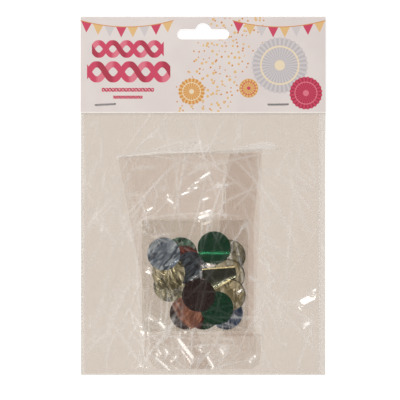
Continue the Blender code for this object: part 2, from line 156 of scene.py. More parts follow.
class Relief:
    """An even grid of places over a rectangle, and heights read between them."""

    def __init__(self, low, high, step):
        self.low, self.step = low, step
        columns, rows = (int((high[axis] - low[axis]) / step) + 2 for axis in (0, 1))
        across, along = low[0] + step * np.arange(columns), low[1] + step * np.arange(rows)
        self.x, self.y = np.meshgrid(across, along)

    def read(self, heights, x, y):
        """The heights at these places, between the four grid points round each."""
        column = np.clip((x - self.low[0]) / self.step, 0, heights.shape[1] - 1.001)
        row = np.clip((y - self.low[1]) / self.step, 0, heights.shape[0] - 1.001)
        c, r = column.astype(int), row.astype(int)
        right, up = column - c, row - r
        near = heights[r, c] * (1 - right) + heights[r, c + 1] * right
        far = heights[r + 1, c] * (1 - right) + heights[r + 1, c + 1] * right
        return near * (1 - up) + far * up


def levelled(heights):
    """Each height as the mean of its four neighbours."""
    wide = np.pad(heights, 1, mode="edge")
    return (wide[:-2, 1:-1] + wide[2:, 1:-1] + wide[1:-1, :-2] + wide[1:-1, 2:]) / 4


def crease(x, y, middle, length, angle, height, width, bow=0.0):
    """A sharp fold line that stands up from a sheet, bows to one side and dies out at both ends."""
    along = (x - middle[0]) * math.cos(angle) + (y - middle[1]) * math.sin(angle)
    across = (y - middle[1]) * math.cos(angle) - (x - middle[0]) * math.sin(angle)
    fade = 1 - np.clip(2 * along / length, -1, 1) ** 2
    return height * fade * np.exp(-np.abs(across - bow * fade) / width)


def crossed(x, y, seed, count, spot, reach, height, width, lean, spread):
    """Creases of random place, length and lean round a spot, the strongest of them at each point."""
    random = np.random.default_rng(seed)
    total = np.zeros_like(x)
    for _ in range(count):
        middle = [spot[axis] + random.uniform(-0.8, 0.8) * reach for axis in (0, 1)]
        angle = lean + random.normal(0.0, spread)
        size = random.uniform(0.5, 1.0)
        bow = random.uniform(-0.12, 0.12) * reach
        one = crease(x, y, middle, reach * random.uniform(0.9, 2.4), angle, height * size, width * size, bow)
        total = np.maximum(total, one)
    return total


def closed_sheet(name, upper, lower, faces, rim, marks=None):
    """A thin closed body: an upper and a lower sheet with the same faces, joined along the rim."""
    count = len(upper)
    below = [[corner + count for corner in reversed(face)] for face in faces]
    sides = [[a, a + count, b + count, b] for a, b in zip(rim, rim[1:] + rim[:1])]
    mesh = bpy.data.meshes.new(name)
    mesh.from_pydata(np.concatenate([upper, lower]).tolist(), [], faces + below + sides)
    for mark, values in (marks or {}).items():
        mesh.attributes.new(mark, "FLOAT", "POINT").data.foreach_set("value", np.concatenate(values))
    mesh.shade_smooth()
    mesh.set_sharp_from_angle(angle=math.radians(60))
    return mesh


def add_piece(name, mesh, material, slot, *nodes):
    """Puts a finished mesh in the scene on the one body, in place of its plain solids."""
    mesh.materials.append(material)
    piece = bpy.data.objects.new(name, mesh)
    bpy.context.scene.collection.objects.link(piece)
    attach(piece, "root")
    if nodes:
        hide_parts(*nodes)
    return piece


def warped(tree, place, lump, reach, detail):
    """The coordinates pushed about by soft noise with lumps of this size, by up to about this reach."""
    push = tree.add("TexNoise", {}, {"Vector": place, "Scale": 1 / lump, "Detail": detail}, "Color")
    push = tree.add("VectorMath", {"operation": "MULTIPLY"}, {0: push, 1: (reach, reach, 0.0)})
    return tree.add("VectorMath", {"operation": "ADD"}, {0: place, 1: push})


def stretched(tree, place, lean, times):
    """The coordinates drawn out this many times along a line that leans from the Y axis."""
    sockets = {"Vector": place, "Rotation": (0, 0, lean), "Scale": (1.0, times, 1.0)}
    return tree.add("Mapping", {"vector_type": "TEXTURE"}, sockets)


STREAK, CRACKLE = 1.6 * MM, 0.9 * MM
# How dark the facets of painted shade are, as a share of the foil's colour
PAINTED_SHADE_SHARE = 0.25
CRACKLE_DEPTH = 0.04 * MM
ARC_EDGE = 1.2 * MM


def foil(name, colour, sheen, roughness=0.2, streaks=0.0, lean=0.0, arc_colour=None, rim=None):
    """Metallised film: a tinted mirror with fine crackle, with lighter, rougher streaks of painted highlight
    and darker facets of painted shade.

    Arc colour is the middle and radius of a round part that keeps the foil's colours, and the colour outside
    it.
    Rim is a colour of painted shade along its edge, where one is given."""
    material, tree, place = start_material(name)
    turned = stretched(tree, warped(tree, place, 5 * MM, 3 * MM, 2.0), lean, 3.5)
    streak = tree.noise(turned, STREAK, 4.0).rise(0.35, 0.72)
    crackle = tree.noise(place, CRACKLE, 3.0)
    facet = tree.add("TexVoronoi", {"feature": "F1"}, {"Vector": turned, "Scale": 1 / STREAK}, "Color")
    facet = tree.add("SeparateColor", {}, {"Color": facet}, "Red")
    # Lighter streaks and facets, rougher too, are painted highlight on the foil
    sheen_streaks = (streak * 0.5 + facet.rise(0.35, 1.0) * 0.5) * streaks
    base = sheen_streaks.mix(colour, sheen)
    # Darker facets are painted shade
    base = (facet.rise(0.5, 0.0) * streaks * 0.8).mix(base, tuple(PAINTED_SHADE_SHARE * part for part in colour))
    # Beyond an arc the foil takes another colour; on the copper disc it is painted shade
    if arc_colour:
        middle, radius, beyond_arc = arc_colour
        apart = tree.add("VectorMath", {"operation": "DISTANCE"}, {0: place, 1: middle}, 1)
        base = (apart + streak * MM).rise(radius, radius + ARC_EDGE).mix(base, beyond_arc)
    if rim:
        # Painted shade along the disc's rim
        base = tree.add("Attribute", {"attribute_name": "edge"}, {}, "Fac").mix(base, rim)
    rough = crackle * 0.12 + (roughness - 0.06) + sheen_streaks * 0.15
    settings = {"Base Color": base, "Metallic": 1.0, "Roughness": rough}
    tree.add("OutputMaterial", {}, {"Surface": shine(tree, settings, [(crackle, CRACKLE_DEPTH)])})
    return material


# Painted shade along the rims of the gold discs
RIM_SHADE = (0.13, 0.11, 0.055)

# Two discs change colour along an arc. Each has the arc's middle and radius, and the colour beyond it.
copper_low, copper_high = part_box("confetti_copper")
RED_ARC = ((-47.3 * MM, -59.6 * MM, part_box("confetti_red_lower")[0].z), 50.4 * MM, (0.020, 0.12, 0.06))
# The copper disc's dark colour beyond its arc is painted shade
copper_middle = (copper_low + copper_high) / 2 + Vector((19.1, 14.3, 0.0)) * MM
COPPER_ARC = (tuple(copper_middle), 29.0 * MM, (0.085, 0.042, 0.040))

FOILS = {
    "gold": foil("gold foil", (0.58, 0.49, 0.25), (1.0, 0.95, 0.76), 0.30, 0.95, 0.3, None, RIM_SHADE),
    "dark gold": foil("dark gold foil", (0.27, 0.24, 0.12), (0.86, 0.82, 0.62), 0.29, 1.0, 0.5, None,
                      RIM_SHADE),
    "bright green": foil("bright green foil", (0.012, 0.10, 0.055), (0.30, 0.72, 0.52), 0.26, 0.5, -0.8),
    "dark blue": foil("dark blue foil", (0.075, 0.080, 0.115), (0.32, 0.44, 0.54), 0.26, 0.8, -0.9),
    "green": foil("green foil", (0.018, 0.17, 0.080), (0.05, 0.36, 0.18), 0.24, 0.04, 0.6),
    "blue": foil("blue foil", (0.025, 0.060, 0.17), (0.18, 0.40, 0.80), 0.24, 0.5, -0.7),
    "pale blue": foil("pale blue foil", (0.23, 0.31, 0.44), (0.82, 0.92, 1.0), 0.29, 0.9, -0.75),
    "silver": foil("silver foil", (0.24, 0.24, 0.16), (0.84, 0.79, 0.56), 0.27, 1.0, 0.2),
    "red": foil("red foil", (0.28, 0.045, 0.032), (0.66, 0.24, 0.18), 0.25, 0.5, 0.7),
    "half green red": foil("half green red foil", (0.24, 0.035, 0.035), (0.66, 0.26, 0.24), 0.25, 0.5, 0.5,
                           RED_ARC),
    "copper": foil("copper foil", (0.50, 0.175, 0.105), (0.88, 0.50, 0.36), 0.29, 0.6, -0.6, COPPER_ARC),
    "maroon": foil("maroon foil", (0.075, 0.040, 0.038), (0.09, 0.04, 0.04), 0.20, 0.05, 0.4),
}

# For each disc its foil, and the number, height and width in millimetres, lean and spread of its creases
DISCS = {
    "confetti_gold_upper": ("dark gold", 22, 0.30, 0.7, 1.2, 0.9),
    "confetti_blue_lower": ("blue", 8, 0.18, 0.8, 0.6, 0.5),
    "confetti_gold_middle": ("gold", 22, 0.30, 0.7, 1.4, 0.9),
    "confetti_gold_lower": ("gold", 20, 0.28, 0.7, 1.4, 0.8),
    "confetti_green_left": ("bright green", 7, 0.24, 0.6, -0.8, 0.15),
    "confetti_silver": ("silver", 22, 0.36, 0.7, 1.2, 1.0),
    "confetti_navy": ("dark blue", 6, 0.16, 0.8, -0.9, 0.5),
    "confetti_red_left": ("red", 5, 0.16, 0.7, -0.5, 0.4),
    "confetti_gold_left": ("dark gold", 24, 0.34, 0.8, 1.1, 0.9),
    "confetti_red_lower": ("half green red", 5, 0.14, 0.9, 1.0, 0.3),
    "confetti_copper": ("copper", 5, 0.12, 1.2, -0.8, 0.5),
    "confetti_green_lower": ("green", 2, 0.10, 1.5, 1.3, 0.3),
    "confetti_green_upper": ("green", 0, 0.0, 1.0, 0.0, 0.0),
    "confetti_maroon": ("maroon", 1, 0.05, 2.0, 0.4, 0.0),
    "confetti_blue_upper": ("pale blue", 9, 0.12, 0.8, 1.2, 0.45),
}

UNDER_HEAP = 0.10 * MM
sachet_low, sachet_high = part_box("confetti_sachet")
heap = Relief((sachet_low.x, sachet_low.y), (sachet_high.x, sachet_high.y), 0.25 * MM)
heap_top = np.full_like(heap.x, sachet_low.z + UNDER_HEAP)
disc_low, disc_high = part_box("confetti_maroon")
DISC_RADIUS = (disc_high.x - disc_low.x) / 2


def disc_places(centre):
    """Points over a round disc in rings, its faces and its rim."""
    turn = 2 * np.pi * np.arange(DISC_SPOKES) / DISC_SPOKES
    share = np.arange(1, DISC_RINGS + 1)[:, None] / DISC_RINGS
    x = np.append(centre[0], centre[0] + DISC_RADIUS * share * np.cos(turn))
    y = np.append(centre[1], centre[1] + DISC_RADIUS * share * np.sin(turn))
    faces = []
    for spoke in range(DISC_SPOKES):
        after = (spoke + 1) % DISC_SPOKES
        faces.append([0, 1 + spoke, 1 + after])
        for ring in range(DISC_RINGS - 1):
            inner, outer = 1 + ring * DISC_SPOKES, 1 + (ring + 1) * DISC_SPOKES
            faces.append([inner + spoke, outer + spoke, outer + after, inner + after])
    rim = [1 + (DISC_RINGS - 1) * DISC_SPOKES + spoke for spoke in range(DISC_SPOKES)]
    return x, y, faces, rim


def laid_flat(bed, inside):
    """A flat disc on a bed of others: of the leaning planes that clear them, the one that lies lowest."""
    x, y, under = heap.x[inside], heap.y[inside], bed[inside]
    lowest = None
    for slope_x in np.linspace(-0.3, 0.3, 25):
        for slope_y in np.linspace(-0.3, 0.3, 25):
            lean = slope_x * x + slope_y * y
            lift = (under - lean).max()
            middle = (lean + lift).mean()
            if lowest is None or middle < lowest[0]:
                lowest = (middle, lift, slope_x, slope_y)
    _, lift, slope_x, slope_y = lowest
    return lift + slope_x * heap.x + slope_y * heap.y


def settled(bed, inside):
    """A soft disc on a bed of others: the plane that lies on them best, bent where they push through."""
    parts = np.stack([np.ones(inside.sum()), heap.x[inside], heap.y[inside]], axis=1)
    plane, *_ = np.linalg.lstsq(parts, bed[inside], rcond=None)
    level = plane[0] + plane[1] * heap.x + plane[2] * heap.y
    level += 0.5 * max(0.0, (bed - level)[inside].max())
    for _ in range(6):
        level = np.maximum(levelled(level), np.where(inside, bed, level))
    return level


CRUSHED_DISC = "confetti_gold_left"
BENT_DISC = "confetti_green_upper"
FLAT_DISCS = ("confetti_maroon", BENT_DISC, "confetti_green_lower")
BEND_HEIGHT, BEND_WIDTH, BEND_PLACE = 0.45 * MM, 0.55 * MM, 0.32
RIM_START, RIM_WIDTH = 0.91, 0.06


def lay_disc(node):
    """Makes one disc on top of the heap so far, and adds it to the heap."""
    colour, count, height, width, lean, spread = DISCS[node]
    low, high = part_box(node)
    centre = ((low.x + high.x) / 2, (low.y + high.y) / 2)
    inside = np.hypot(heap.x - centre[0], heap.y - centre[1]) < DISC_RADIUS + heap.step
    bed = heap_top + FOIL_GAP
    level = laid_flat(bed, inside) if node in FLAT_DISCS else settled(bed, inside)
    seed = sum(map(ord, node))
    level += crossed(heap.x, heap.y, seed, count, centre, DISC_RADIUS, height * MM, width * MM, lean, spread)
    if node == BENT_DISC:
        level += BEND_HEIGHT / (1 + np.exp((heap.y - centre[1] + BEND_PLACE * DISC_RADIUS) / BEND_WIDTH))
    level = np.maximum(level, bed)
    heap_top[inside] = np.maximum(heap_top, level + FOIL)[inside]
    x, y, faces, rim = disc_places(centre)
    z = heap.read(level, x, y)
    reach = np.hypot(x - centre[0], y - centre[1]) / DISC_RADIUS
    # How far each point lies in the band of painted rim shade; the crushed disc has none
    edge = np.clip((reach - RIM_START) / RIM_WIDTH, 0, 1) * (node != CRUSHED_DISC)
    upper, lower = np.stack([x, y, z + FOIL], 1), np.stack([x, y, z], 1)
    mesh = closed_sheet(node, upper, lower, faces, rim, {"edge": [edge, edge]})
    add_piece(node.replace("confetti", "disc"), mesh, FOILS[colour], colour.split()[-1] + "_foil", node)


# The discs are laid from the lowest up, but the navy one just after the red one, and the maroon one last
LEANING_DISC = "confetti_maroon"
ORDER = sorted(DISCS, key=lambda name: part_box(name)[0].z)
ORDER.remove("confetti_navy")
ORDER.insert(ORDER.index("confetti_red_left") + 1, "confetti_navy")
ORDER.remove(LEANING_DISC)
for node in ORDER:
    lay_disc(node)

# The curl: the sides of one gold disc have rolled up towards each other, more at one end than at the other.
# Its two rims catch the light as pale lines, and its dull inner side lies in its own shade. The maroon disc
# leans on its lower rim.
CURL_ANGLE = math.radians(95)
CURL_SHARE = 0.72
ROLL_ANGLE = math.radians(230)
ROLL_RADIUS = 0.50 * MM
CURL_TURN = math.radians(14)
CURL_RISE = 1.75 * MM
CURL_WIDE, CURL_NARROW = 7.4 * MM, 4.0 * MM
# How the disc narrows towards each rolled side: 0 keeps it square, 1 round, and more makes a point
UPPER_SQUARE, LOWER_SQUARE = 0.08, 1.8


def curled_foil():
    """The points of the curl's two sides, and the shape of the grid that they form."""
    low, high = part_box("confetti_gold_curled")
    along, roll = np.meshgrid(np.linspace(-1, 1, 41), np.linspace(-1, 1, 97))
    side = np.sign(roll)
    half_width = CURL_WIDE + (CURL_NARROW - CURL_WIDE) * (along + 1) / 2
    square = np.where(roll > 0, UPPER_SQUARE, LOWER_SQUARE)
    x = DISC_RADIUS * (1 - (0.85 * roll) ** 2) ** (square / 2) * along

    def arc(angle):
        """The open part: places across and up, and the tangent there."""
        tangent = np.stack([half_width * np.cos(angle), CURL_RISE * np.sin(angle)])
        return half_width * np.sin(angle), CURL_RISE * (1 - np.cos(angle)), tangent / np.hypot(*tangent)

    y, z, tangent = arc(CURL_ANGLE * np.clip(roll / CURL_SHARE, -1, 1))
    turned = ROLL_ANGLE * np.clip((np.abs(roll) - CURL_SHARE) / (1 - CURL_SHARE), 0, 1) * side
    normal = np.stack([-tangent[1], tangent[0]])
    y = y + ROLL_RADIUS * (np.sin(turned) * tangent[0] + (1 - np.cos(turned)) * normal[0])
    z = z + ROLL_RADIUS * (np.sin(turned) * tangent[1] + (1 - np.cos(turned)) * normal[1])
    tangent = np.cos(turned) * tangent + np.sin(turned) * normal

    def placed(offset, floor):
        """The sheet's points, moved this far off it, turned and set down at the floor."""
        across, height = y - offset * tangent[1], z + offset * tangent[0]
        turned_x = x * math.cos(CURL_TURN) - across * math.sin(CURL_TURN)
        turned_y = x * math.sin(CURL_TURN) + across * math.cos(CURL_TURN)
        middle_x, middle_y = (low.x + high.x) / 2, (low.y + high.y) / 2
        return np.stack([turned_x + middle_x, turned_y + middle_y, height + floor], -1).reshape(-1, 3)

    lower = placed(0.0, 0.0)
    floor = (heap.read(heap_top, lower[:, 0], lower[:, 1]) - lower[:, 2]).max() + FOIL_GAP
    return placed(FOIL, floor), placed(0.0, floor), x.shape


def grid_faces(rows, columns):
    """The faces of a grid of points stored row by row, and its rim, both anticlockwise from above."""
    number = np.arange(rows * columns).reshape(rows, columns)
    corners = [number[:-1, :-1], number[:-1, 1:], number[1:, 1:], number[1:, :-1]]
    faces = np.stack([corner.ravel() for corner in corners], 1).tolist()
    rim = [*number[0, :-1], *number[:-1, -1], *number[-1, :0:-1], *number[:0:-1, 0]]
    return faces, [int(corner) for corner in rim]


def curl_material():
    """Gold outside and on its rims, and inside a dark grey mirror that is painted shade."""
    material, tree, place = start_material("curled gold foil")
    inner = tree.add("Attribute", {"attribute_name": "inner"}, {}, "Fac")
    crackle = tree.noise(place, 1.1 * MM, 3.0)
    # Inside, painted shade: dark grey
    base = inner.mix((1.0, 0.90, 0.52), (0.095, 0.105, 0.078))
    settings = {"Base Color": base, "Metallic": inner * 0.5 + 0.5, "Roughness": crackle * 0.12 + 0.24}
    tree.add("OutputMaterial", {}, {"Surface": shine(tree, settings, [(crackle, 0.01 * MM)])})
    return material


upper, lower, (curl_rows, curl_columns) = curled_foil()
faces, rim = grid_faces(curl_rows, curl_columns)
inner = [np.ones(len(upper)), np.zeros(len(lower))]
mesh = closed_sheet("disc_gold_curled", upper, lower, faces, rim, {"inner": inner})
add_piece("disc_gold_curled", mesh, curl_material(), "gold_foil", "confetti_gold_curled")
for point in upper:
    column = int(round((point[0] - heap.low[0]) / heap.step))
    row = int(round((point[1] - heap.low[1]) / heap.step))
    spot = (slice(row - 1, row + 2), slice(column - 1, column + 2))
    heap_top[spot] = np.maximum(heap_top[spot], point[2])
lay_disc(LEANING_DISC)

# The sachet: a small bag of very thin clear film round the confetti, welded at both sides and the bottom, and
# open at the top. Its upper film is drawn tight over the heap, and puckers between the discs.
SACHET_FILM = 0.05 * MM
SACHET_WELD = 0.8 * MM
FILM_GAP = 0.05 * MM

# The camera and the two lamps, which the bright ridges in the films face
EYE = Vector((0.0, 0.0, 1.02))
UPPER_LAMP, LOWER_LAMP = Vector((-0.99, 2.13, 3.24)), Vector((-1.66, -1.66, 3.24))
# How far the film is whitened over each glint: painted highlight
GLINT_HIGHLIGHT = 0.25


def rise(value, none, full):
    """0 where the value is none or beyond, 1 where it is full or beyond, and a smooth change between them."""
    share = np.clip((value - none) / (full - none), 0, 1)
    return share * share * (3 - 2 * share)


def glint(x, y, middle, length, width, degrees):
    """A short ridge in a film, with one flat flank that throws a lamp's light straight up, and its cover.

    Ridges that lean up to the right face the upper lamp, and the others face the lower one."""
    angle = math.radians(degrees)
    along = (x - middle[0]) * math.cos(angle) + (y - middle[1]) * math.sin(angle)
    across = (y - middle[1]) * math.cos(angle) - (x - middle[0]) * math.sin(angle)
    across = (-across if degrees > 0 else across) - width / 2
    spot = Vector((*middle, 0.0))
    half = ((UPPER_LAMP if degrees > 0 else LOWER_LAMP) - spot).normalized() + (EYE - spot).normalized()
    slope = math.hypot(half.x, half.y) / half.z
    flank = np.where(across < 0, np.clip(across / width + 1, 0, 1), np.exp(-across / (0.45 * width)))
    cover = rise(np.abs(along), length / 2 + width, length / 2)
    cover = cover * rise(np.abs(across + width / 2), 1.3 * width, 0.6 * width)
    return slope * width * (1 - np.clip(2 * along / length, -1, 1) ** 8) * flank, cover


def with_glints(x, y, height, worn, room, glints):
    """Adds ridges that glint, lays the film level under them where it has room for them, and whitens the film
    over each as painted highlight.
    """
    start = height
    for across, along, length, width, degrees in glints:
        middle = (across * MM, along * MM)
        ridge, cover = glint(x, y, middle, length * MM, width * MM, degrees)
        spot = np.hypot(x - middle[0], y - middle[1]).argmin()
        height = height + room * (cover * (start.flat[spot] - height) + ridge)
        worn = worn + GLINT_HIGHLIGHT * cover
    return height, worn


def film(name, tint, gloss, whiten, strokes=(), frost=0.0):
    """Clear film: it tints what is behind it, and mirrors a little, more at a slant. Creases are whitened,
    partly as painted highlight.

    Each stroke is the spacing, lean and strength of one set of thin crease lines of painted highlight, which
    wander and fade."""
    material, tree, place = start_material(name)
    worn = tree.add("Attribute", {"attribute_name": "worn"}, {}, "Fac") + frost
    loose = 1.0 - tree.add("Attribute", {"attribute_name": "tight"}, {}, "Fac")
    bent = warped(tree, place, 30 * MM, 12 * MM, 1.0)
    # Each set of strokes whitens thin lines: painted highlight
    for spacing, lean, strength in strokes:
        turned = stretched(tree, bent, lean, 7.0)
        line = abs(tree.noise(turned, spacing * MM, 1.0) - 0.5).rise(0.020, 0.0)
        fade = tree.noise(turned, 1.7 * spacing * MM, 1.0).rise(0.48, 0.70)
        worn = line * fade * loose * strength + worn
    wrinkle = tree.noise(place, 3.0 * MM, 3.0)
    fine = tree.noise(place, 0.8 * MM, 2.0)
    slant = tree.add("LayerWeight", {}, {"Blend": 0.5}, "Facing")
    mirrored = tree.maths("POWER", slant, 5.0) * 0.5 + (loose * 0.4 + 0.6) * gloss
    share = mirrored + worn * whiten
    settings = {"Base Color": (0.95, 0.93, 0.90, 1.0), "Metallic": mirrored / share}
    settings["Roughness"] = fine * 0.06 + 0.08 + worn * 0.4
    mirror = shine(tree, settings, [(wrinkle, 0.03 * MM), (fine, 0.006 * MM)])
    clear = tree.add("BsdfTransparent", {}, {"Color": (*tint, 1.0)})
    mixed = tree.add("MixShader", {}, {0: share, 1: clear, 2: mirror})
    tree.add("OutputMaterial", {}, {"Surface": mixed})
    return material


def drawn_tight(bed, held, rounds):
    """A film stretched over a bed of heights, and held at the heights where they are given."""
    level = np.where(np.isnan(held), bed, held)
    for _ in range(rounds):
        level = np.where(np.isnan(held), np.maximum(levelled(level), bed), held)
    return level


def even(low, high, count):
    """Evenly spaced values from low to high."""
    return np.linspace(low, high, count)


def inward(x, y, left, right, bottom):
    """How far a place is from the nearest of three welded sides."""
    return np.minimum(np.minimum(x - left, right - x), y - bottom)


def creased(x, y, seed, count, spot, reach, height, width, whitening_width, lean, spread):
    """The height of crossed creases, and how far they are whitened along narrower lines, partly as painted
    highlight.
    """
    ridges = crossed(x, y, seed, count, spot, reach, height, width, lean, spread)
    return ridges, crossed(x, y, seed, count, spot, reach, 1.0, whitening_width, lean, spread)


def thin_sheet(name, x, y, z, thickness, **marks):
    """A closed sheet over a grid of places, with its underside at z. A mark has one value for each place."""
    lower = np.stack([x, y, z], -1).reshape(-1, 3)
    faces, rim = grid_faces(*x.shape)
    both_sides = {mark: [values.ravel()] * 2 for mark, values in marks.items()}
    return closed_sheet(name, lower + (0.0, 0.0, thickness), lower, faces, rim, both_sides)


# Short bright ridges in a film: place, length and width in millimetres, and lean in degrees
SACHET_GLINTS = [
    (-30.5, -74.0, 7.0, 1.6, -36), (-23.5, -79.5, 6.0, 1.8, -46), (-33.0, -46.0, 3.5, 1.6, -36),
    (22.0, -58.5, 3.0, 1.4, 32), (2.5, -16.5, 9.0, 2.0, 18), (25.0, -50.5, 4.0, 1.6, -40),
]


def over_heap(x, y):
    """1 over the discs, 0 beside them."""
    return rise(heap.read(heap_top, x, y), sachet_low.z + 0.2 * MM, sachet_low.z + 0.6 * MM)


def sachet_film():
    """Both films of the sachet, welded along three sides, and the places of the front one's upper side."""
    sides = (sachet_low.x, sachet_high.x, sachet_low.y)
    welded = inward(heap.x, heap.y, *sides) < SACHET_WELD
    held = np.where(welded, sachet_low.z + SACHET_FILM + 0.02 * MM, np.nan)
    level = drawn_tight(heap_top + FILM_GAP, held, 500)
    x, y = np.meshgrid(even(sachet_low.x, sachet_high.x, 133), even(sachet_low.y, sachet_high.y, 142))
    free = np.clip((inward(x, y, *sides) - SACHET_WELD) / (3 * MM), 0, 1)
    middle = ((sachet_low.x + sachet_high.x) / 2, (sachet_low.y + sachet_high.y) / 2)
    tight = over_heap(x, y)
    ridges, worn = creased(x, y, 11, 70, middle, 34 * MM, 0.20 * MM, 0.9 * MM, 0.35 * MM, 0.9, 0.9)
    z = heap.read(level, x, y) + free * ((1 - 0.8 * tight) * ridges)
    z, worn = with_glints(x, y, z, (0.35 - 0.32 * tight) * worn, free, SACHET_GLINTS)
    z = np.maximum(z, np.where(free > 0, heap.read(heap_top, x, y) + FILM_GAP / 2, z))
    # Both ends of the sachet are whitened: at the welded bottom that is frosting, at the open top painted
    # highlight
    worn = np.where((y > sachet_high.y - 0.5 * MM) | (y < sachet_low.y + 0.6 * MM), 0.6, worn)
    front = thin_sheet("sachet_front", x, y, z, SACHET_FILM, worn=worn, tight=tight)
    back_x, back_y = x[::3, ::3], y[::3, ::3]
    flat, clear = np.full_like(back_x, sachet_low.z), np.zeros_like(back_x)
    back = thin_sheet("sachet_back", back_x, back_y, flat, SACHET_FILM, worn=clear, tight=clear + 1.0)
    return front, back, (x, y, z + SACHET_FILM)


sachet_material = film("sachet film", (0.966, 0.964, 0.955), 0.016, 0.40, [(5, 0.6, 0.5), (3, -0.7, 0.4)])
front, back, sachet_top = sachet_film()
add_piece("sachet_front_film", front, sachet_material, "clear_film", "confetti_sachet")
add_piece("sachet_back_film", back, sachet_material, "clear_film", "confetti_sachet")

# The balloon: two discs of thin stretchy film welded round their rim, folded once across and then in thirds.
# It lies in three leaves, creased at random by its folding, with a painted highlight along its folded top.
BALLOON_RADIUS = 133 * MM
TIP_SHARE = 0.965
LEFT_TAPER, RIGHT_TAPER, TAPER_SHARE = 17 * MM, 4 * MM, 0.65
EDGE_SLANT = 0.055
LEAF_LEAST = 0.10 * MM
LEAF_CREASE = 0.34 * MM
LEAF_GAP = 0.03 * MM
# Whitening of the balloon's top edge, a painted highlight, and of the turns between its leaves
EDGE_SHARE, EDGE_HIGHLIGHT, TURN_WORN = 0.012, 0.8, 0.5

balloon_low, balloon_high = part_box("balloon")
balloon_edge = balloon_high.y
strip_left = balloon_low.x + 0.6 * MM
strip_right = strip_left + BALLOON_RADIUS * 2 / 3


def strip_sides(y):
    """Where the balloon's two folded edges lie at a place along the pack."""
    inward = np.clip((balloon_edge - y) / BALLOON_RADIUS / TAPER_SHARE, 0.0, 1.0)
    return strip_left + LEFT_TAPER * inward, strip_right - RIGHT_TAPER * inward


def top_edge(share):
    """Where the slanting folded top edge lies. The share runs from its left end to its right one."""
    return balloon_edge + EDGE_SLANT * (share - 0.5) * (strip_right - strip_left)


def leaf_creases(x, y, seed):
    """Height of the puckers in one film of a leaf, never below nothing and levelling off at the top."""
    middle = ((strip_left + strip_right) / 2, balloon_edge - BALLOON_RADIUS / 2)
    ridges = crossed(x, y, seed, 46, middle, 62 * MM, LEAF_CREASE, 1.4 * MM, 1.9, 0.75)
    return LEAF_CREASE * (1 - np.exp(-ridges / LEAF_CREASE))


pack = Relief((cad_box[0].x, cad_box[0].y), (cad_box[1].x, cad_box[1].y), 0.6 * MM)


def leaf_levels():
    """(underside, top) of the three leaves from the lowest up, on the pack's relief."""
    levels, floor = [], np.zeros_like(pack.x)
    share = (pack.x - strip_left) / (strip_right - strip_left)
    pressed = 1 - 0.6 * np.clip((pack.y - top_edge(share) + 6 * MM) / (6 * MM), 0, 1) ** 2
    for leaf in range(3):
        under = floor + 0.4 * leaf_creases(pack.x, pack.y, 20 + leaf)
        over = under + LEAF_LEAST + leaf_creases(pack.x, pack.y, 30 + leaf)
        levels.append((balloon_low.z + under * pressed, balloon_low.z + over * pressed))
        floor = over + LEAF_GAP
    return levels


LEAVES = leaf_levels()


def balloon_film():
    """The folded film as one closed sheet, from the tip of the top leaf to the tip of the middle one."""
    third, tip = BALLOON_RADIUS / 3, TIP_SHARE * BALLOON_RADIUS
    lowest, middle, highest = 0, 1, 2
    stops = []
    for flat in even(tip, third, 84):
        stops.append((-flat, (flat - third) / (2 * third), highest, highest, 0.0))
    for turn in even(0, math.pi, 9)[1:-1]:
        stops.append((-third, 0.0, highest, lowest, turn))
    for flat in even(-third, third, 88):
        stops.append((flat, (flat + third) / (2 * third), lowest, lowest, 0.0))
    for turn in even(0, math.pi, 9)[1:-1]:
        stops.append((third, 1.0, lowest, middle, turn))
    for flat in even(third, tip, 84):
        stops.append((flat, 1 - (flat - third) / (2 * third), middle, middle, 0.0))
    drop = even(0, 1, 132)
    rights, lefts, worn = [], [], []
    for flat, share, first, second, turn in stops:
        y = top_edge(share) - drop * (top_edge(share) - balloon_edge + math.sqrt(BALLOON_RADIUS**2 - flat**2))
        left, right = strip_sides(y)
        x = left + (right - left) * share
        mids, halves = [], []
        for leaf in (first, second):
            under, over = (pack.read(level, x, y) for level in LEAVES[leaf])
            mids.append((under + over) / 2)
            halves.append((over - under) / 2)
        blend = (1 - math.cos(turn)) / 2
        mid = mids[0] * (1 - blend) + mids[1] * blend
        half = halves[0] * (1 - blend) + halves[1] * blend
        bulge = np.abs(mids[1] - mids[0]) / 2 * math.sin(turn)
        outward = -1 if share == 0.0 else 1
        normal_z = math.cos(turn) * (-1 if first == lowest else 1)
        normal_x = math.sin(turn) * outward
        centre = np.stack([x + outward * bulge, y, mid], -1)
        offset = np.stack([half * normal_x, 0 * y, half * normal_z], -1)
        rights.append(centre + offset)
        lefts.append(centre - offset)
        worn.append(np.where(drop < EDGE_SHARE, EDGE_HIGHLIGHT, 0.0) + TURN_WORN * (turn > 0))
    outer, inner = np.array(rights), np.array(lefts)
    faces, rim = grid_faces(*outer.shape[:2])
    marks = {"worn": [np.array(worn).ravel()] * 2}
    return closed_sheet("balloon", outer.reshape(-1, 3), inner.reshape(-1, 3), faces, rim, marks)


balloon_material = film("balloon film", (0.990, 0.983, 0.979), 0.010, 0.35, [(9, 0.1, 0.3), (6, -1.0, 0.25)])
add_piece("folded_balloon", balloon_film(), balloon_material, "balloon_film", "balloon")

# The loose fold: a soft flap of the balloon's film that lies above its folded edge, under the bag's film.
# The bag's film is whitened over the flap as painted highlight, most of all towards the flap's right end.
FOLD_ENDS = (-53 * MM, 48 * MM)
FOLD_MIDDLE, FOLD_HALF = -2.5 * MM, 52 * MM
FOLD_LINE = [
    (-53.0, 24.0), (-39.9, 25.2), (-26.2, 26.9), (-4.1, 27.2), (15.9, 26.5), (28.5, 27.5), (48.0, 29.0),
]
FOLD_TOP = [
    (-53.0, 24.5), (-46.2, 25.8), (-26.2, 29.8), (-13.6, 31.2), (-5.2, 34.0), (1.2, 31.2), (10.6, 28.2),
    (18.0, 28.2), (24.3, 30.1), (34.8, 32.2), (42.2, 32.1), (48.0, 29.5),
]
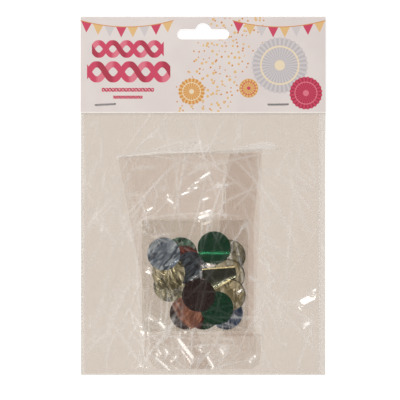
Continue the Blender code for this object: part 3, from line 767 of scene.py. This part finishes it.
# How far the flap and the film over it are whitened along the flap, and along the fold line: painted
# highlight
FOLD_HIGHLIGHT = [(-53.0, 0.4), (-40.0, 0.3), (-5.0, 0.55), (10.0, 0.3), (22.0, 0.7), (34.0, 1.2), (48.0, 0.9)]
LINE_HIGHLIGHT = [(-53.0, 1.3), (-30.0, 1.1), (-4.0, 1.0), (10.0, 0.6), (28.0, 0.8), (48.0, 0.3)]
FOLD_FILM = 0.06 * MM
BAG_FILM = 0.06 * MM
UNDER_CARD = 1.30 * MM
card_low, card_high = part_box("header_card")


def bag_lift(y):
    """How far the bag's back film has risen from the ground on its way up to the card."""
    return UNDER_CARD * rise(y, balloon_edge + 1 * MM, card_low.y - 1 * MM)


def at(points, x):
    """Straight lines through points given in millimetres."""
    return np.interp(x / MM, *zip(*points))


def fold_level(x, y):
    """The height of the flap's underside."""
    ripple = 0.10 * MM * (1 + np.sin(x / (3.1 * MM)) * np.cos(y / (1.7 * MM)))
    return bag_lift(y) + BAG_FILM + FILM_GAP + ripple


def loose_fold():
    """The flap, between the balloon's folded edge and its own wavy top."""
    across, share = np.meshgrid(even(*FOLD_ENDS, 160), even(0, 1, 14))
    line, top = at(FOLD_LINE, across) * MM, at(FOLD_TOP, across) * MM
    along = line + (top - line) * share
    # The flap itself is whitened along its length: painted highlight
    worn = 0.4 * at(FOLD_HIGHLIGHT, across)
    return thin_sheet("loose_fold", across, along, fold_level(across, along), FOLD_FILM, worn=worn)


def fold_highlight(x, y):
    """How far the bag's front film is whitened over the flap and the fold below it: painted highlight."""
    line, top = at(FOLD_LINE, x) * MM, at(FOLD_TOP, x) * MM
    share = (y - line) / np.maximum(top - line, 0.5 * MM)
    flap = at(FOLD_HIGHLIGHT, x) * rise(share, -0.2, 0.3) * rise(share, 1.4, 0.8)
    fold = np.exp(-(((y - line) / (0.45 * MM)) ** 2))
    ends = rise(x, -54 * MM, -52 * MM) * rise(x, 49 * MM, 42 * MM)
    return ends * np.maximum(0.9 * flap, at(LINE_HIGHLIGHT, x) * fold)


fold_material = film("folded balloon film", (0.997, 0.992, 0.990), 0.01, 0.65)
add_piece("loose_fold", loose_fold(), fold_material, "balloon_film", "balloon")

# The neck and the tucks: the balloon's flat filling neck is turned up at its foot, and strips of its rim are
# folded in over it and along the right side. They lie on the leaves, as rosier bands with pale edges.
TUCK_FILM = 0.05 * MM
FOOT_RISE = 0.35 * MM
FOOT_SIDES = (-34 * MM, 36 * MM)
TUCKS = {
    # name: ends along the pack, left side, right side, height of the puckers, height over the leaves
    "filling_neck": (
        (-106.0, -78.5),
        [(-106.0, -7.6), (-78.5, -17.4)],
        [(-106.0, 4.4), (-78.5, -5.4)],
        0.03, 0.02,
    ),
    "side_tuck": (
        (-86.0, 26.4),
        [(-86.0, 12.0), (-16.0, 10.0), (26.0, 16.0)],
        [(-86.0, 31.0), (-16.0, 31.0), (26.0, 35.5)],
        0.02, 0.02,
    ),
    "foot_tuck": (
        (-106.0, -84.5),
        [(-106.0, -27.0), (-103.5, -31.5), (-98.0, -33.0), (-91.0, -32.2), (-84.5, -33.6)],
        [(-106.0, 30.0), (-103.0, 34.0), (-97.0, 35.5), (-90.0, 35.6), (-84.5, 36.2)],
        0.34, 0.14,
    ),
}


def tuck(name, ends, left_side, right_side, pucker, lift):
    """A strip of film just over the leaves, whitened along both sides and on its puckers."""
    share, along = np.meshgrid(even(0, 1, 60), even(ends[0] * MM, ends[1] * MM, 70))
    left, right = (np.interp(along / MM, *zip(*side)) * MM for side in (left_side, right_side))
    across = left + (right - left) * share
    foot = (-3 * MM, -94 * MM)
    puckers = crossed(across, along, 81, 40, foot, 26 * MM, pucker * MM, 0.8 * MM, 0.9, 1.2)
    level = pack.read(LEAVES[-1][1], across, along) + lift * MM + puckers
    edges = 0.5 * np.exp(-share / 0.03) + 0.3 * np.exp(-(1 - share) / 0.03)
    return thin_sheet(name, across, along, level, TUCK_FILM, worn=edges + 0.9 * puckers / MM)


side_material = film("side tuck film", (0.940, 0.919, 0.904), 0.01, 0.35, [(7, 0.2, 0.4)])
foot_material = film("foot tuck film", (0.965, 0.955, 0.947), 0.02, 0.50, [(5, 0.9, 0.7), (4, -0.6, 0.6)])
for name in ("side_tuck", "filling_neck", "foot_tuck"):
    material = foot_material if name == "foot_tuck" else side_material
    add_piece(name, tuck(name, *TUCKS[name]), material, "balloon_film", "balloon")

# The bag: two clear films welded down both sides and along the bottom, with its mouth up under the card.
# The front film is drawn over the balloon and the sachet, and stands in long creases that run out from them.
# Serrated jaws made its side welds, so each has a row of pressed beads.
bag_low, bag_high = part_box("bag")
WELDS = (bag_low.x + 1.5 * MM, bag_high.x - 4.0 * MM, bag_low.y + 1.0 * MM)
CARD_EDGE = card_low.y - 1.0 * MM
OVER_BAG = 1.62 * MM
WAVE_HEIGHT = 0.16 * MM


def contents_top(x, y):
    """The top of the balloon, its loose fold and the sachet, and the ground elsewhere."""
    in_fold = (y > at(FOLD_LINE, x) * MM - MM) & (y < at(FOLD_TOP, x) * MM + MM)
    in_fold = in_fold & (np.abs(x - FOLD_MIDDLE) < FOLD_HALF)
    top = np.where(in_fold, fold_level(x, y) + FOLD_FILM, 0.0)
    third = BALLOON_RADIUS / 3
    left, right = strip_sides(y)
    share = (x - left) / (right - left)
    on_strip = (share >= 0) & (share <= 1) & (y <= top_edge(share))
    flats = [2 * third * share - third, third + 2 * third * (1 - share), third + 2 * third * share]
    for (_, over), flat in zip(LEAVES, flats):
        reach = np.sqrt(np.maximum(0, BALLOON_RADIUS**2 - flat**2))
        top = np.where(on_strip & (y > balloon_edge - reach), pack.read(over, x, y), top)
    foot_low, foot_high = TUCKS["foot_tuck"][0]
    in_foot = (y > foot_low * MM) & (y < foot_high * MM) & (x > FOOT_SIDES[0]) & (x < FOOT_SIDES[1])
    top = np.where(in_foot, pack.read(LEAVES[-1][1], x, y) + FOOT_RISE, top)
    sx, sy, sz = sachet_top
    step = sx[0, 1] - sx[0, 0], sy[1, 0] - sy[0, 0]
    column = np.clip(((x - sx[0, 0]) / step[0]), 0, sx.shape[1] - 1)
    row = np.clip(((y - sy[0, 0]) / step[1]), 0, sx.shape[0] - 1)
    c, r = column.astype(int), row.astype(int)
    c1, r1 = np.minimum(c + 1, sx.shape[1] - 1), np.minimum(r + 1, sx.shape[0] - 1)
    height = np.maximum(np.maximum(sz[r, c], sz[r, c1]), np.maximum(sz[r1, c], sz[r1, c1]))
    inside = (x >= sachet_low.x) & (x <= sachet_high.x) & (y >= sachet_low.y) & (y <= sachet_high.y)
    return np.where(inside, np.maximum(height, top), top)


# Short bright ridges in the front film, as in the sachet's
BAG_GLINTS = [
    (-1.8, 9.4, 11.0, 1.7, 30), (1.2, 12.4, 9.0, 1.7, 32), (-10.5, 1.7, 8.0, 1.7, 24),
    (-8.0, 4.6, 3.5, 1.6, 25), (-4.5, 4.8, 3.4, 1.7, 20), (-19.8, -3.0, 7.0, 2.2, -40),
    (-32.6, -8.3, 5.6, 1.7, 28), (1.5, -2.0, 5.6, 1.5, 18), (0.5, -12.6, 9.0, 2.4, 18),
    (-10.4, -93.4, 19.0, 2.8, -53), (-2.2, -92.2, 4.0, 1.7, 30), (-1.0, -94.8, 4.0, 1.7, -40),
    (-22.2, -94.8, 4.6, 1.9, -56), (12.0, -94.0, 5.0, 2.2, 34), (11.8, -95.0, 6.0, 2.0, -62),
    (30.6, -99.2, 5.5, 2.0, 42), (-23.6, -103.2, 15.0, 1.8, -38), (-16.0, -106.0, 8.0, 1.6, -34),
    (64.0, -78.6, 5.5, 2.4, 28), (-31.3, -75.3, 6.0, 2.0, -36), (-24.9, -78.8, 7.5, 2.4, -46),
    (-26.4, -95.5, 5.0, 1.6, -60), (-17.5, -99.4, 4.0, 1.8, 40), (4.6, -101.5, 10.0, 2.0, -60),
    (22.6, -58.2, 5.0, 2.2, 30), (-3.9, -49.2, 6.5, 1.2, 30), (-32.4, -45.9, 3.4, 1.3, -36),
    (-9.1, -81.4, 4.5, 1.7, 36), (65.6, -63.0, 16.0, 4.4, 25), (69.0, -57.6, 5.5, 2.4, 34),
]

# Lines of painted highlight on the front film, as whitening: place, length, width, lean in degrees, strength
HIGHLIGHT_MARKS = [
    (-2.7, 17.9, 9.0, 1.3, 22, 0.8), (-36.5, 16.4, 20.0, 0.9, 4, 0.6), (-40.8, -0.1, 15.0, 0.8, -5, 0.6),
    (2.5, -12.7, 11.0, 1.3, 12, 1.2), (-23.9, 4.7, 5.0, 1.4, 80, 0.7), (30.0, -50.8, 7.0, 0.8, -40, 1.3),
    (36.8, -31.8, 10.0, 0.45, 35, 0.9), (-25.5, -24.8, 17.0, 0.5, 10, 0.9),
    (11.6, 4.9, 24.0, 0.45, 15, 1.0), (14.2, 17.4, 14.0, 0.40, 96, 0.7),
    (-17.6, 30.8, 27.0, 0.45, 13, 0.9), (63.8, -78.8, 6.0, 1.3, 30, 1.3),
    (-65.6, -86.0, 14.0, 0.6, 60, 0.7), (-12.8, -12.5, 9.0, 0.5, -25, 0.9),
    (42.7, -29.6, 26.0, 0.5, -52, 0.7), (57.0, -11.0, 30.0, 0.6, -60, 0.6),
    (60.0, 24.0, 24.0, 0.7, 75, 0.6), (50.0, -62.0, 26.0, 0.5, 64, 0.5),
    (-62.0, -20.0, 30.0, 0.6, -52, 0.7), (-66.0, 14.0, 26.0, 0.7, 70, 0.6),
    (-58.0, -56.0, 28.0, 0.6, 78, 0.5), (52.0, -66.6, 22.0, 0.4, -2, 0.5),
    (-10.0, 38.0, 20.0, 0.8, 100, 0.4), (24.0, 42.0, 16.0, 0.8, 80, 0.4),
    (14.0, -88.0, 12.0, 0.5, -8, 0.8), (-22.0, -98.0, 9.0, 0.6, 50, 0.9),
    (-4.8, -15.2, 76.0, 0.32, 1, 0.9), (-4.8, -83.0, 72.0, 0.35, 0, 0.7),
    (-35.2, -49.0, 84.0, 0.32, 91, 0.6), (38.5, -88.0, 46.0, 0.35, 90, 0.5),
]

# Where the front film creases: place, reach, number, lean and spread of the creases, and their seed
CREASED_AREAS = [
    (-62, -10, 30, 18, 1.25, 0.25, 51), (-60, -70, 30, 16, 1.2, 0.35, 52), (55, -5, 30, 20, 2.05, 0.25, 53),
    (55, -70, 30, 14, 1.75, 0.45, 54), (-5, 12, 38, 20, 0.5, 0.7, 55), (-5, -45, 40, 14, 1.2, 0.9, 56),
    (-5, -95, 34, 30, 0.9, 1.1, 57),
]
# The height and width of a crease, and the width of its whitened line
CREASE = (0.26 * MM, 1.5 * MM, 0.45 * MM)
MARK_BOW = 0.06


def front_creases(x, y):
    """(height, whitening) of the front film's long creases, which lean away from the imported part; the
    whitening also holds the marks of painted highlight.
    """
    height, worn = np.zeros_like(x), np.zeros_like(x)
    for across, along, reach, count, lean, spread, seed in CREASED_AREAS:
        spot, reach = (across * MM, along * MM), reach * MM
        ridges, lines = creased(x, y, seed, count, spot, reach, *CREASE, lean, spread)
        height, worn = np.maximum(height, ridges), np.maximum(worn, lines)
    for across, along, length, width, degrees, strength in HIGHLIGHT_MARKS:
        middle, angle, length = (across * MM, along * MM), math.radians(degrees), length * MM
        mark = crease(x, y, middle, length, angle, strength, width * MM, MARK_BOW * length)
        worn = np.maximum(worn, mark)
    return height, worn


def soft_waves(x, y):
    """The sum of long soft waves of random direction."""
    waves = np.zeros_like(x)
    random = np.random.default_rng(61)
    for wavelength in (46, 38, 31, 27, 22, 19):
        angle, phase = random.uniform(-0.7, 0.7), random.uniform(0, 2 * math.pi)
        waves += np.sin(2 * math.pi * (x * math.cos(angle) + y * math.sin(angle)) / (wavelength * MM) + phase)
    return waves


def raised(heights):
    """Each height as the highest of itself and its four neighbours."""
    wide = np.pad(heights, 1, mode="edge")
    return np.max([heights, wide[:-2, 1:-1], wide[2:, 1:-1], wide[1:-1, :-2], wide[1:-1, 2:]], axis=0)


def closer(low, start, end, high, counts):
    """Places from low to high, which lie closer together from start to end."""
    before, within, after = counts
    first, last = even(low, start, before)[:-1], even(end, high, after)[1:]
    return np.concatenate([first, even(start, end, within), last])


def standing(x, y):
    """How far in from the nearest weld a place is, and how freely the film may stand up there."""
    edge = inward(x, y, *WELDS)
    return edge, rise(edge, 0, 5 * MM) * rise(y, CARD_EDGE, CARD_EDGE - 6 * MM)


def bag_front():
    """The front film, drawn over what is in the bag and pressed on the back film along the welds."""
    lifted = bag_lift(pack.y)
    held = np.where(inward(pack.x, pack.y, *WELDS) < 0, lifted + 2 * BAG_FILM, np.nan)
    held = np.where(pack.y > CARD_EDGE, OVER_BAG - BAG_FILM, held)
    bed = np.maximum(contents_top(pack.x, pack.y) + FILM_GAP, lifted + 3 * BAG_FILM)
    level = drawn_tight(bed, held, 1500)

    columns = closer(bag_low.x, -42 * MM, 44 * MM, bag_high.x, (24, 136, 31))
    rows = closer(bag_low.y, -108.5 * MM, 34 * MM, bag_high.y, (3, 229, 22))
    x, y = np.meshgrid(columns, rows)
    edge, free = standing(x, y)
    tight = over_heap(x, y)
    height, worn = front_creases(x, y)
    height = height + WAVE_HEIGHT * (soft_waves(x, y) / 2 + 1)
    floor = levelled(levelled(raised(raised(contents_top(x, y) + FILM_GAP / 2))))
    z = pack.read(level, x, y) + free * height * (1 - 0.75 * tight)
    z, worn = with_glints(x, y, z, worn, rise(edge, 0, 1.5 * MM), BAG_GLINTS)
    z = np.where(free > 0, np.maximum(z, np.maximum(floor, 3 * BAG_FILM)), z)
    # Whitening: crease lines partly painted highlight, the marks, glints and flap painted highlight, the
    # welds frosted
    worn = 0.6 * worn * free * (1 - 0.9 * tight) + 0.6 * fold_highlight(x, y) + 0.45 * (edge < 0)
    return thin_sheet("bag_front", x, y, z, BAG_FILM, worn=worn, tight=tight)


def bag_back():
    """The back film, which lies on the ground and wrinkles more beside the balloon than under it."""
    x, y = np.meshgrid(even(bag_low.x, bag_high.x, 76), even(bag_low.y, bag_high.y, 100))
    _, free = standing(x, y)
    beside = rise(np.maximum(np.maximum(strip_left - x, x - strip_right), y - balloon_edge), 0, 4 * MM)
    room = 0.08 * MM + 0.25 * MM * beside
    wrinkles, worn = creased(x, y, 71, 60, (0, -30 * MM), 80 * MM, 1.0, 3.0 * MM, 1.2 * MM, 1.4, 0.8)
    z = bag_lift(y) + free * room * wrinkles
    return thin_sheet("bag_back", x, y, z, BAG_FILM, worn=0.25 * free * worn)


BAG_TINT = (0.919, 0.896, 0.873)
bag_material = film("bag film", BAG_TINT, 0.03, 0.50, [(12, -0.55, 0.38), (7, 0.30, 0.42), (5, 0.0, 0.38)])
add_piece("bag_front_film", bag_front(), bag_material, "clear_film", "bag")
add_piece("bag_back_film", bag_back(), film("bag back film", BAG_TINT, 0.02, 0.20), "clear_film", "bag")


def new_tree(name, inputs):
    """A Geometry Nodes group with the named inputs and one geometry in and out."""
    group = bpy.data.node_groups.new(name, "GeometryNodeTree")
    group.interface.new_socket("Geometry", in_out="INPUT", socket_type="NodeSocketGeometry")
    for label, kind in inputs.items():
        group.interface.new_socket(label, in_out="INPUT", socket_type=kind)
    group.interface.new_socket("Geometry", in_out="OUTPUT", socket_type="NodeSocketGeometry")
    return group, group.nodes.new("NodeGroupInput"), group.nodes.new("NodeGroupOutput")


def add_geometry(group, kind, links, **values):
    """A Geometry Nodes node with its sockets' values and the outputs that feed them."""
    node = group.nodes.new(kind)
    for name, value in values.items():
        setattr(node, name, value)
    for name, value in links.items():
        if isinstance(value, bpy.types.NodeSocket):
            group.links.new(value, node.inputs[name])
        else:
            node.inputs[name].default_value = value
    return node


def bead_tree():
    """Pressed beads at an even pitch along a line of points."""
    sizes = {"Pitch": "NodeSocketFloat", "Bead": "NodeSocketVector", "Film": "NodeSocketMaterial"}
    group, given, out = new_tree("pressed beads", sizes)
    line = add_geometry(group, "GeometryNodeMeshToCurve", {"Mesh": given.outputs["Geometry"]})
    spaced = add_geometry(
        group, "GeometryNodeResampleCurve",
        {"Curve": line.outputs[0], "Length": given.outputs["Pitch"]}, mode="LENGTH",
    )
    bead = add_geometry(group, "GeometryNodeMeshUVSphere", {"Segments": 8, "Rings": 5, "Radius": 0.5})
    placed = add_geometry(
        group, "GeometryNodeInstanceOnPoints",
        {"Points": spaced.outputs[0], "Instance": bead.outputs[0], "Scale": given.outputs["Bead"]},
    )
    real = add_geometry(group, "GeometryNodeRealizeInstances", {"Geometry": placed.outputs[0]})
    smooth = add_geometry(group, "GeometryNodeSetShadeSmooth", {"Geometry": real.outputs[0]})
    dressed = add_geometry(
        group, "GeometryNodeSetMaterial",
        {"Geometry": smooth.outputs[0], "Material": given.outputs["Film"]},
    )
    group.links.new(dressed.outputs[0], out.inputs[0])
    return group


def grown(name, group, points, values):
    """The plain mesh that a tree makes from a line of points."""
    mesh = bpy.data.meshes.new(name + " line")
    mesh.from_pydata(points, [(i, i + 1) for i in range(len(points) - 1)], [])
    holder = bpy.data.objects.new(name + " line", mesh)
    bpy.context.scene.collection.objects.link(holder)
    modifier = holder.modifiers.new("grow", "NODES")
    modifier.node_group = group
    sockets = {item.name: item.identifier for item in group.interface.items_tree if item.in_out == "INPUT"}
    for label, value in values.items():
        modifier[sockets[label]] = value
    graph = bpy.context.evaluated_depsgraph_get()
    made = bpy.data.meshes.new_from_object(holder.evaluated_get(graph), depsgraph=graph)
    bpy.data.objects.remove(holder)
    made.name = name
    return made


BEAD_PITCH, BEAD_SIZE = 2.2 * MM, (1.0 * MM, 1.2 * MM, 0.24 * MM)
beads = bead_tree()
bead_material = film("pressed film", (0.98, 0.97, 0.96), 0.06, 0.8, (), 0.7)
for side, x in (("left", bag_low.x + 0.75 * MM), ("right", bag_high.x - 3.4 * MM)):
    spots = even(bag_low.y + 1.5 * MM, card_low.y - 1.5 * MM, 60)
    line = [(x, y, z) for y, z in zip(spots, bag_lift(spots) + 2.5 * BAG_FILM)]
    sizes = {"Pitch": BEAD_PITCH, "Bead": BEAD_SIZE, "Film": bead_material}
    mesh = grown(f"weld_beads_{side}", beads, line, sizes)
    mesh.materials.clear()
    add_piece(f"weld_beads_{side}", mesh, bead_material, "clear_film", "bag")

# The header card: smooth coated board, folded over the mouth of the bag, stapled, and slotted for a peg.
# Only its front is printed, and the bare board shows as a pale line along its lower edge.
# Its print is party paper: strings of flags, twisted streamers, scattered dots and pleated rosettes.
PAPER = (0.745, 0.665, 0.625)
CRIMSON, ROSE, DEEP = (0.58, 0.040, 0.100), (0.70, 0.16, 0.22), (0.40, 0.015, 0.050)
ORANGE, HONEY, CREAM = (0.63, 0.25, 0.045), (0.73, 0.46, 0.19), (0.80, 0.66, 0.46)
MIST, LILAC = (0.60, 0.55, 0.54), (0.49, 0.45, 0.46)
CUT_PAPER = (0.90, 0.85, 0.80)
CUT_EDGE = 0.6
INK_EDGE = 0.10
PRINTED_SIDE = 2.0 * MM
DOT_CELL = 3.3


def inked(distance):
    """1 where a distance in millimetres is below nothing, with a slightly soft edge."""
    return distance.rise(INK_EDGE, -INK_EDGE)


def flags(tree, x, y, left, right, top, sag, count):
    """A string of flags between two places: where they are, where the string is, and a colour's number."""
    share = (x - left) / (right - left)
    pitch = (right - left) / count
    place = share * count
    number = tree.maths("FLOOR", place)
    aside = abs(place - number - 0.5) * pitch
    below = (share - 1.0) * share * (4 * sag) + top - y
    within = inked((abs(share - 0.5) - 0.5) * (right - left))
    flag = inked(aside + below * (0.46 * pitch / 6.5) - 0.46 * pitch) * inked(below * -1.0) * within
    third = tree.maths("MODULO", number, 3.0)
    return flag, inked(abs(below) - 0.25) * within, third


def twisted(tree, x, y, left, right, middle, height, wave, thick, phase):
    """A streamer that winds about a level: where it is, and how far it faces the light."""
    turn = x * (2 * math.pi / wave) + phase
    slope = tree.maths("COSINE", turn) * (height * 2 * math.pi / wave)
    away = abs(tree.maths("SINE", turn) * height + middle - y)
    away = away / tree.maths("SQRT", slope * slope + 1.0)
    within = inked(abs(x - (left + right) / 2) - (right - left) / 2)
    return inked(away - thick / 2) * within, slope.rise(-0.6, 0.6)


def rosette(tree, x, y, middle, radius, pleats, tones, base):
    """The base colour with a pleated paper rosette on it, of two tones with a ring and a hub of the third."""
    across, along = x - middle[0], y - middle[1]
    reach = tree.maths("SQRT", across * across + along * along)
    round_share = tree.maths("ARCTAN2", along, across) * (pleats / (2 * math.pi))
    pleat = abs(tree.maths("FRACT", round_share) - 0.5) * 2.0
    colour = pleat.rise(0.3, 0.7).mix(tones[0], tones[1])
    colour = inked(abs(reach - 0.66 * radius) - 0.03 * radius).mix(colour, tones[2])
    colour = inked(reach - 0.18 * radius).mix(colour, tones[2])
    return inked(pleat * (0.06 * radius) + reach - radius).mix(base, colour)


def printed(tree, place, base):
    """The print over the bare card, drawn in millimetres from the middle of the pack."""
    parts = [tree.add("SeparateXYZ", {}, {"Vector": place}, axis) for axis in "XYZ"]
    x, y = parts[0] / MM, parts[1] / MM
    colour = base
    colour = rosette(tree, x, y, (47, 80), 17.5, 34, (MIST, LILAC, CREAM), colour)
    spots = {"Vector": place, "Scale": 1 / (DOT_CELL * MM)}
    reach = tree.add("TexVoronoi", {"voronoi_dimensions": "2D"}, spots, "Distance") * DOT_CELL
    pick = tree.add("TexVoronoi", {"voronoi_dimensions": "2D"}, spots, "Color")
    pick = tree.add("SeparateColor", {}, {"Color": pick}, "Red")
    band = abs(x - (y - 80) * 0.35 - 9.0).rise(24.0, 10.0)
    dots = inked(reach - pick * 0.6 - 0.35) * (band > pick * 0.9)
    colour = dots.mix(colour, (pick > 0.5).mix(ORANGE, HONEY))
    colour = rosette(tree, x, y, (-7, 64), 8.2, 20, (ORANGE, HONEY, CREAM), colour)
    colour = rosette(tree, x, y, (63, 63), 10.2, 24, (CRIMSON, DEEP, ROSE), colour)
    colour = rosette(tree, x, y, (28, 66), 6.0, 16, (HONEY, ORANGE, CRIMSON), colour)
    for left, right, middle, height, wave, thick in (
        (-68, -24, 90.0, 3.8, 17, 3.2), (-71, -20, 76.0, 4.6, 20, 3.8), (-62, -30, 65.0, 0.8, 4, 0.9),
        (-55, -37, 60.5, 0.6, 3, 0.8),
    ):
        for phase, tones in ((0.0, (CRIMSON, ROSE)), (math.pi, (DEEP, CRIMSON))):
            where, lit = twisted(tree, x, y, left, right, middle, height, wave, thick, phase)
            colour = where.mix(colour, lit.mix(*tones))
    for left, right, count in ((-75, -18, 8), (18, 75, 8)):
        flag, string, third = flags(tree, x, y, left, right, 107.5, 4.0, count)
        tone = (third > 1.5).mix((third > 0.5).mix(CRIMSON, HONEY), MIST)
        colour = string.mix(flag.mix(colour, tone), ORANGE)
    colour = inked(y - card_low.y / MM - CUT_EDGE).mix(colour, CUT_PAPER)
    return (parts[2] > PRINTED_SIDE).mix(base, colour)


def card_material():
    """Printed board, faintly mottled and grained under its coating."""
    material, tree, place = start_material("printed card")
    grain = tree.noise(place, 0.35 * MM, 3.0)
    mottle = tree.noise(place, 22 * MM, 2.0)
    base = printed(tree, place, mottle.rise(0.3, 0.7).mix(PAPER, (0.70, 0.62, 0.59)))
    settings = {"Base Color": base, "Roughness": grain * 0.12 + 0.40}
    tree.add("OutputMaterial", {}, {"Surface": shine(tree, settings, [(grain, 0.01 * MM)])})
    return material


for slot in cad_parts["header_card"].material_slots:
    slot.material = card_material()

# The staples: flat galvanised wire pushed through card and bag and clinched behind.
# Each is one bent length of wire, with the fine lines that its drawing left.


def steel_material():
    """Dull galvanised wire with lines along it."""
    material, tree, place = start_material("staple wire")
    drawn = tree.add("Mapping", {}, {"Vector": place, "Scale": (0.05, 1.0, 1.0)})
    lines = tree.noise(drawn, 0.08 * MM, 2.0)
    settings = {"Base Color": (0.42, 0.41, 0.41, 1.0), "Metallic": 1.0, "Roughness": lines * 0.2 + 0.22}
    tree.add("OutputMaterial", {}, {"Surface": shine(tree, settings, [(lines, 0.01 * MM)])})
    return material


steel = steel_material()
for node in ("staple_left", "staple_right"):
    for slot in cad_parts[node].material_slots:
        slot.material = steel

# The setting: a plain pale floor, two square lamps, a soft panel and a pale sky.
# The camera looks straight down, and frames the pack at the photograph's scale.
PIXELS = 400
PIXEL = 0.6135 * MM
MIDDLE = (-3 * PIXEL, -4 * PIXEL)
FLOOR_HALF, FLOOR_LEVEL = 3.0, -0.02 * MM


def pale_floor():
    """A wide floor just under the pack, which glows a little so that it stays pale."""
    material, tree, place = start_material("pale floor")
    mottle = tree.noise(place, 300 * MM, 2.0)
    base = mottle.mix((0.42, 0.42, 0.42), (0.44, 0.44, 0.44))
    lit = {"Base Color": base, "Roughness": 0.9}
    lit.update({"Emission Color": (1.0, 1.0, 1.0, 1.0), "Emission Strength": 0.7})
    tree.add("OutputMaterial", {}, {"Surface": tree.add("BsdfPrincipled", {}, lit)})
    mesh = bpy.data.meshes.new("floor")
    corners = [(across * FLOOR_HALF, along * FLOOR_HALF, FLOOR_LEVEL)
               for across, along in ((-1, -1), (1, -1), (1, 1), (-1, 1))]
    mesh.from_pydata(corners, [], [(0, 1, 2, 3)])
    mesh.materials.append(material)
    item = bpy.data.objects.new("floor", mesh)
    bpy.context.scene.collection.objects.link(item)
    item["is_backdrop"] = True


def lamp(name, place, size, radiance):
    """A square lamp of this brightness that faces the pack."""
    light = bpy.data.lights.new(name, "AREA")
    light.shape, light.size = "SQUARE", size
    light.energy = radiance * math.pi * size * size
    item = bpy.data.objects.new(name, light)
    item.location = place
    item.rotation_mode = "QUATERNION"
    item.rotation_quaternion = (-Vector(place)).to_track_quat("-Z", "Y")
    bpy.context.scene.collection.objects.link(item)


pale_floor()
lamp("upper lamp", UPPER_LAMP, 1.20, 20.0)
lamp("lower lamp", LOWER_LAMP, 1.20, 12.5)
lamp("soft panel", (0.0, 1.60, 3.20), 0.80, 4.0)

world = bpy.data.worlds.new("studio")
world.use_nodes = True
world.node_tree.nodes.clear()
air = Socket(world.node_tree)
strength = air.add("LightPath", {}, {}, "Is Camera Ray") * 0.7 + 0.2
background = air.add("Background", {}, {"Color": (1.0, 1.0, 1.0, 1.0), "Strength": strength})
air.add("OutputWorld", {}, {"Surface": background})
bpy.context.scene.world = world

view = bpy.data.cameras.new("camera")
view.sensor_width = 36.0
view.lens = view.sensor_width * EYE.z / (PIXELS * PIXEL)
camera = bpy.data.objects.new("camera", view)
camera.location = (*MIDDLE, EYE.z)
bpy.context.scene.collection.objects.link(camera)
bpy.context.scene.camera = camera
bpy.context.scene.view_settings.view_transform = "Standard"
bpy.context.scene.cycles.transparent_max_bounces = 64

sizes = {"cad": [list(corner) for corner in cad_box], "visual": [list(corner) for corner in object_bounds()]}
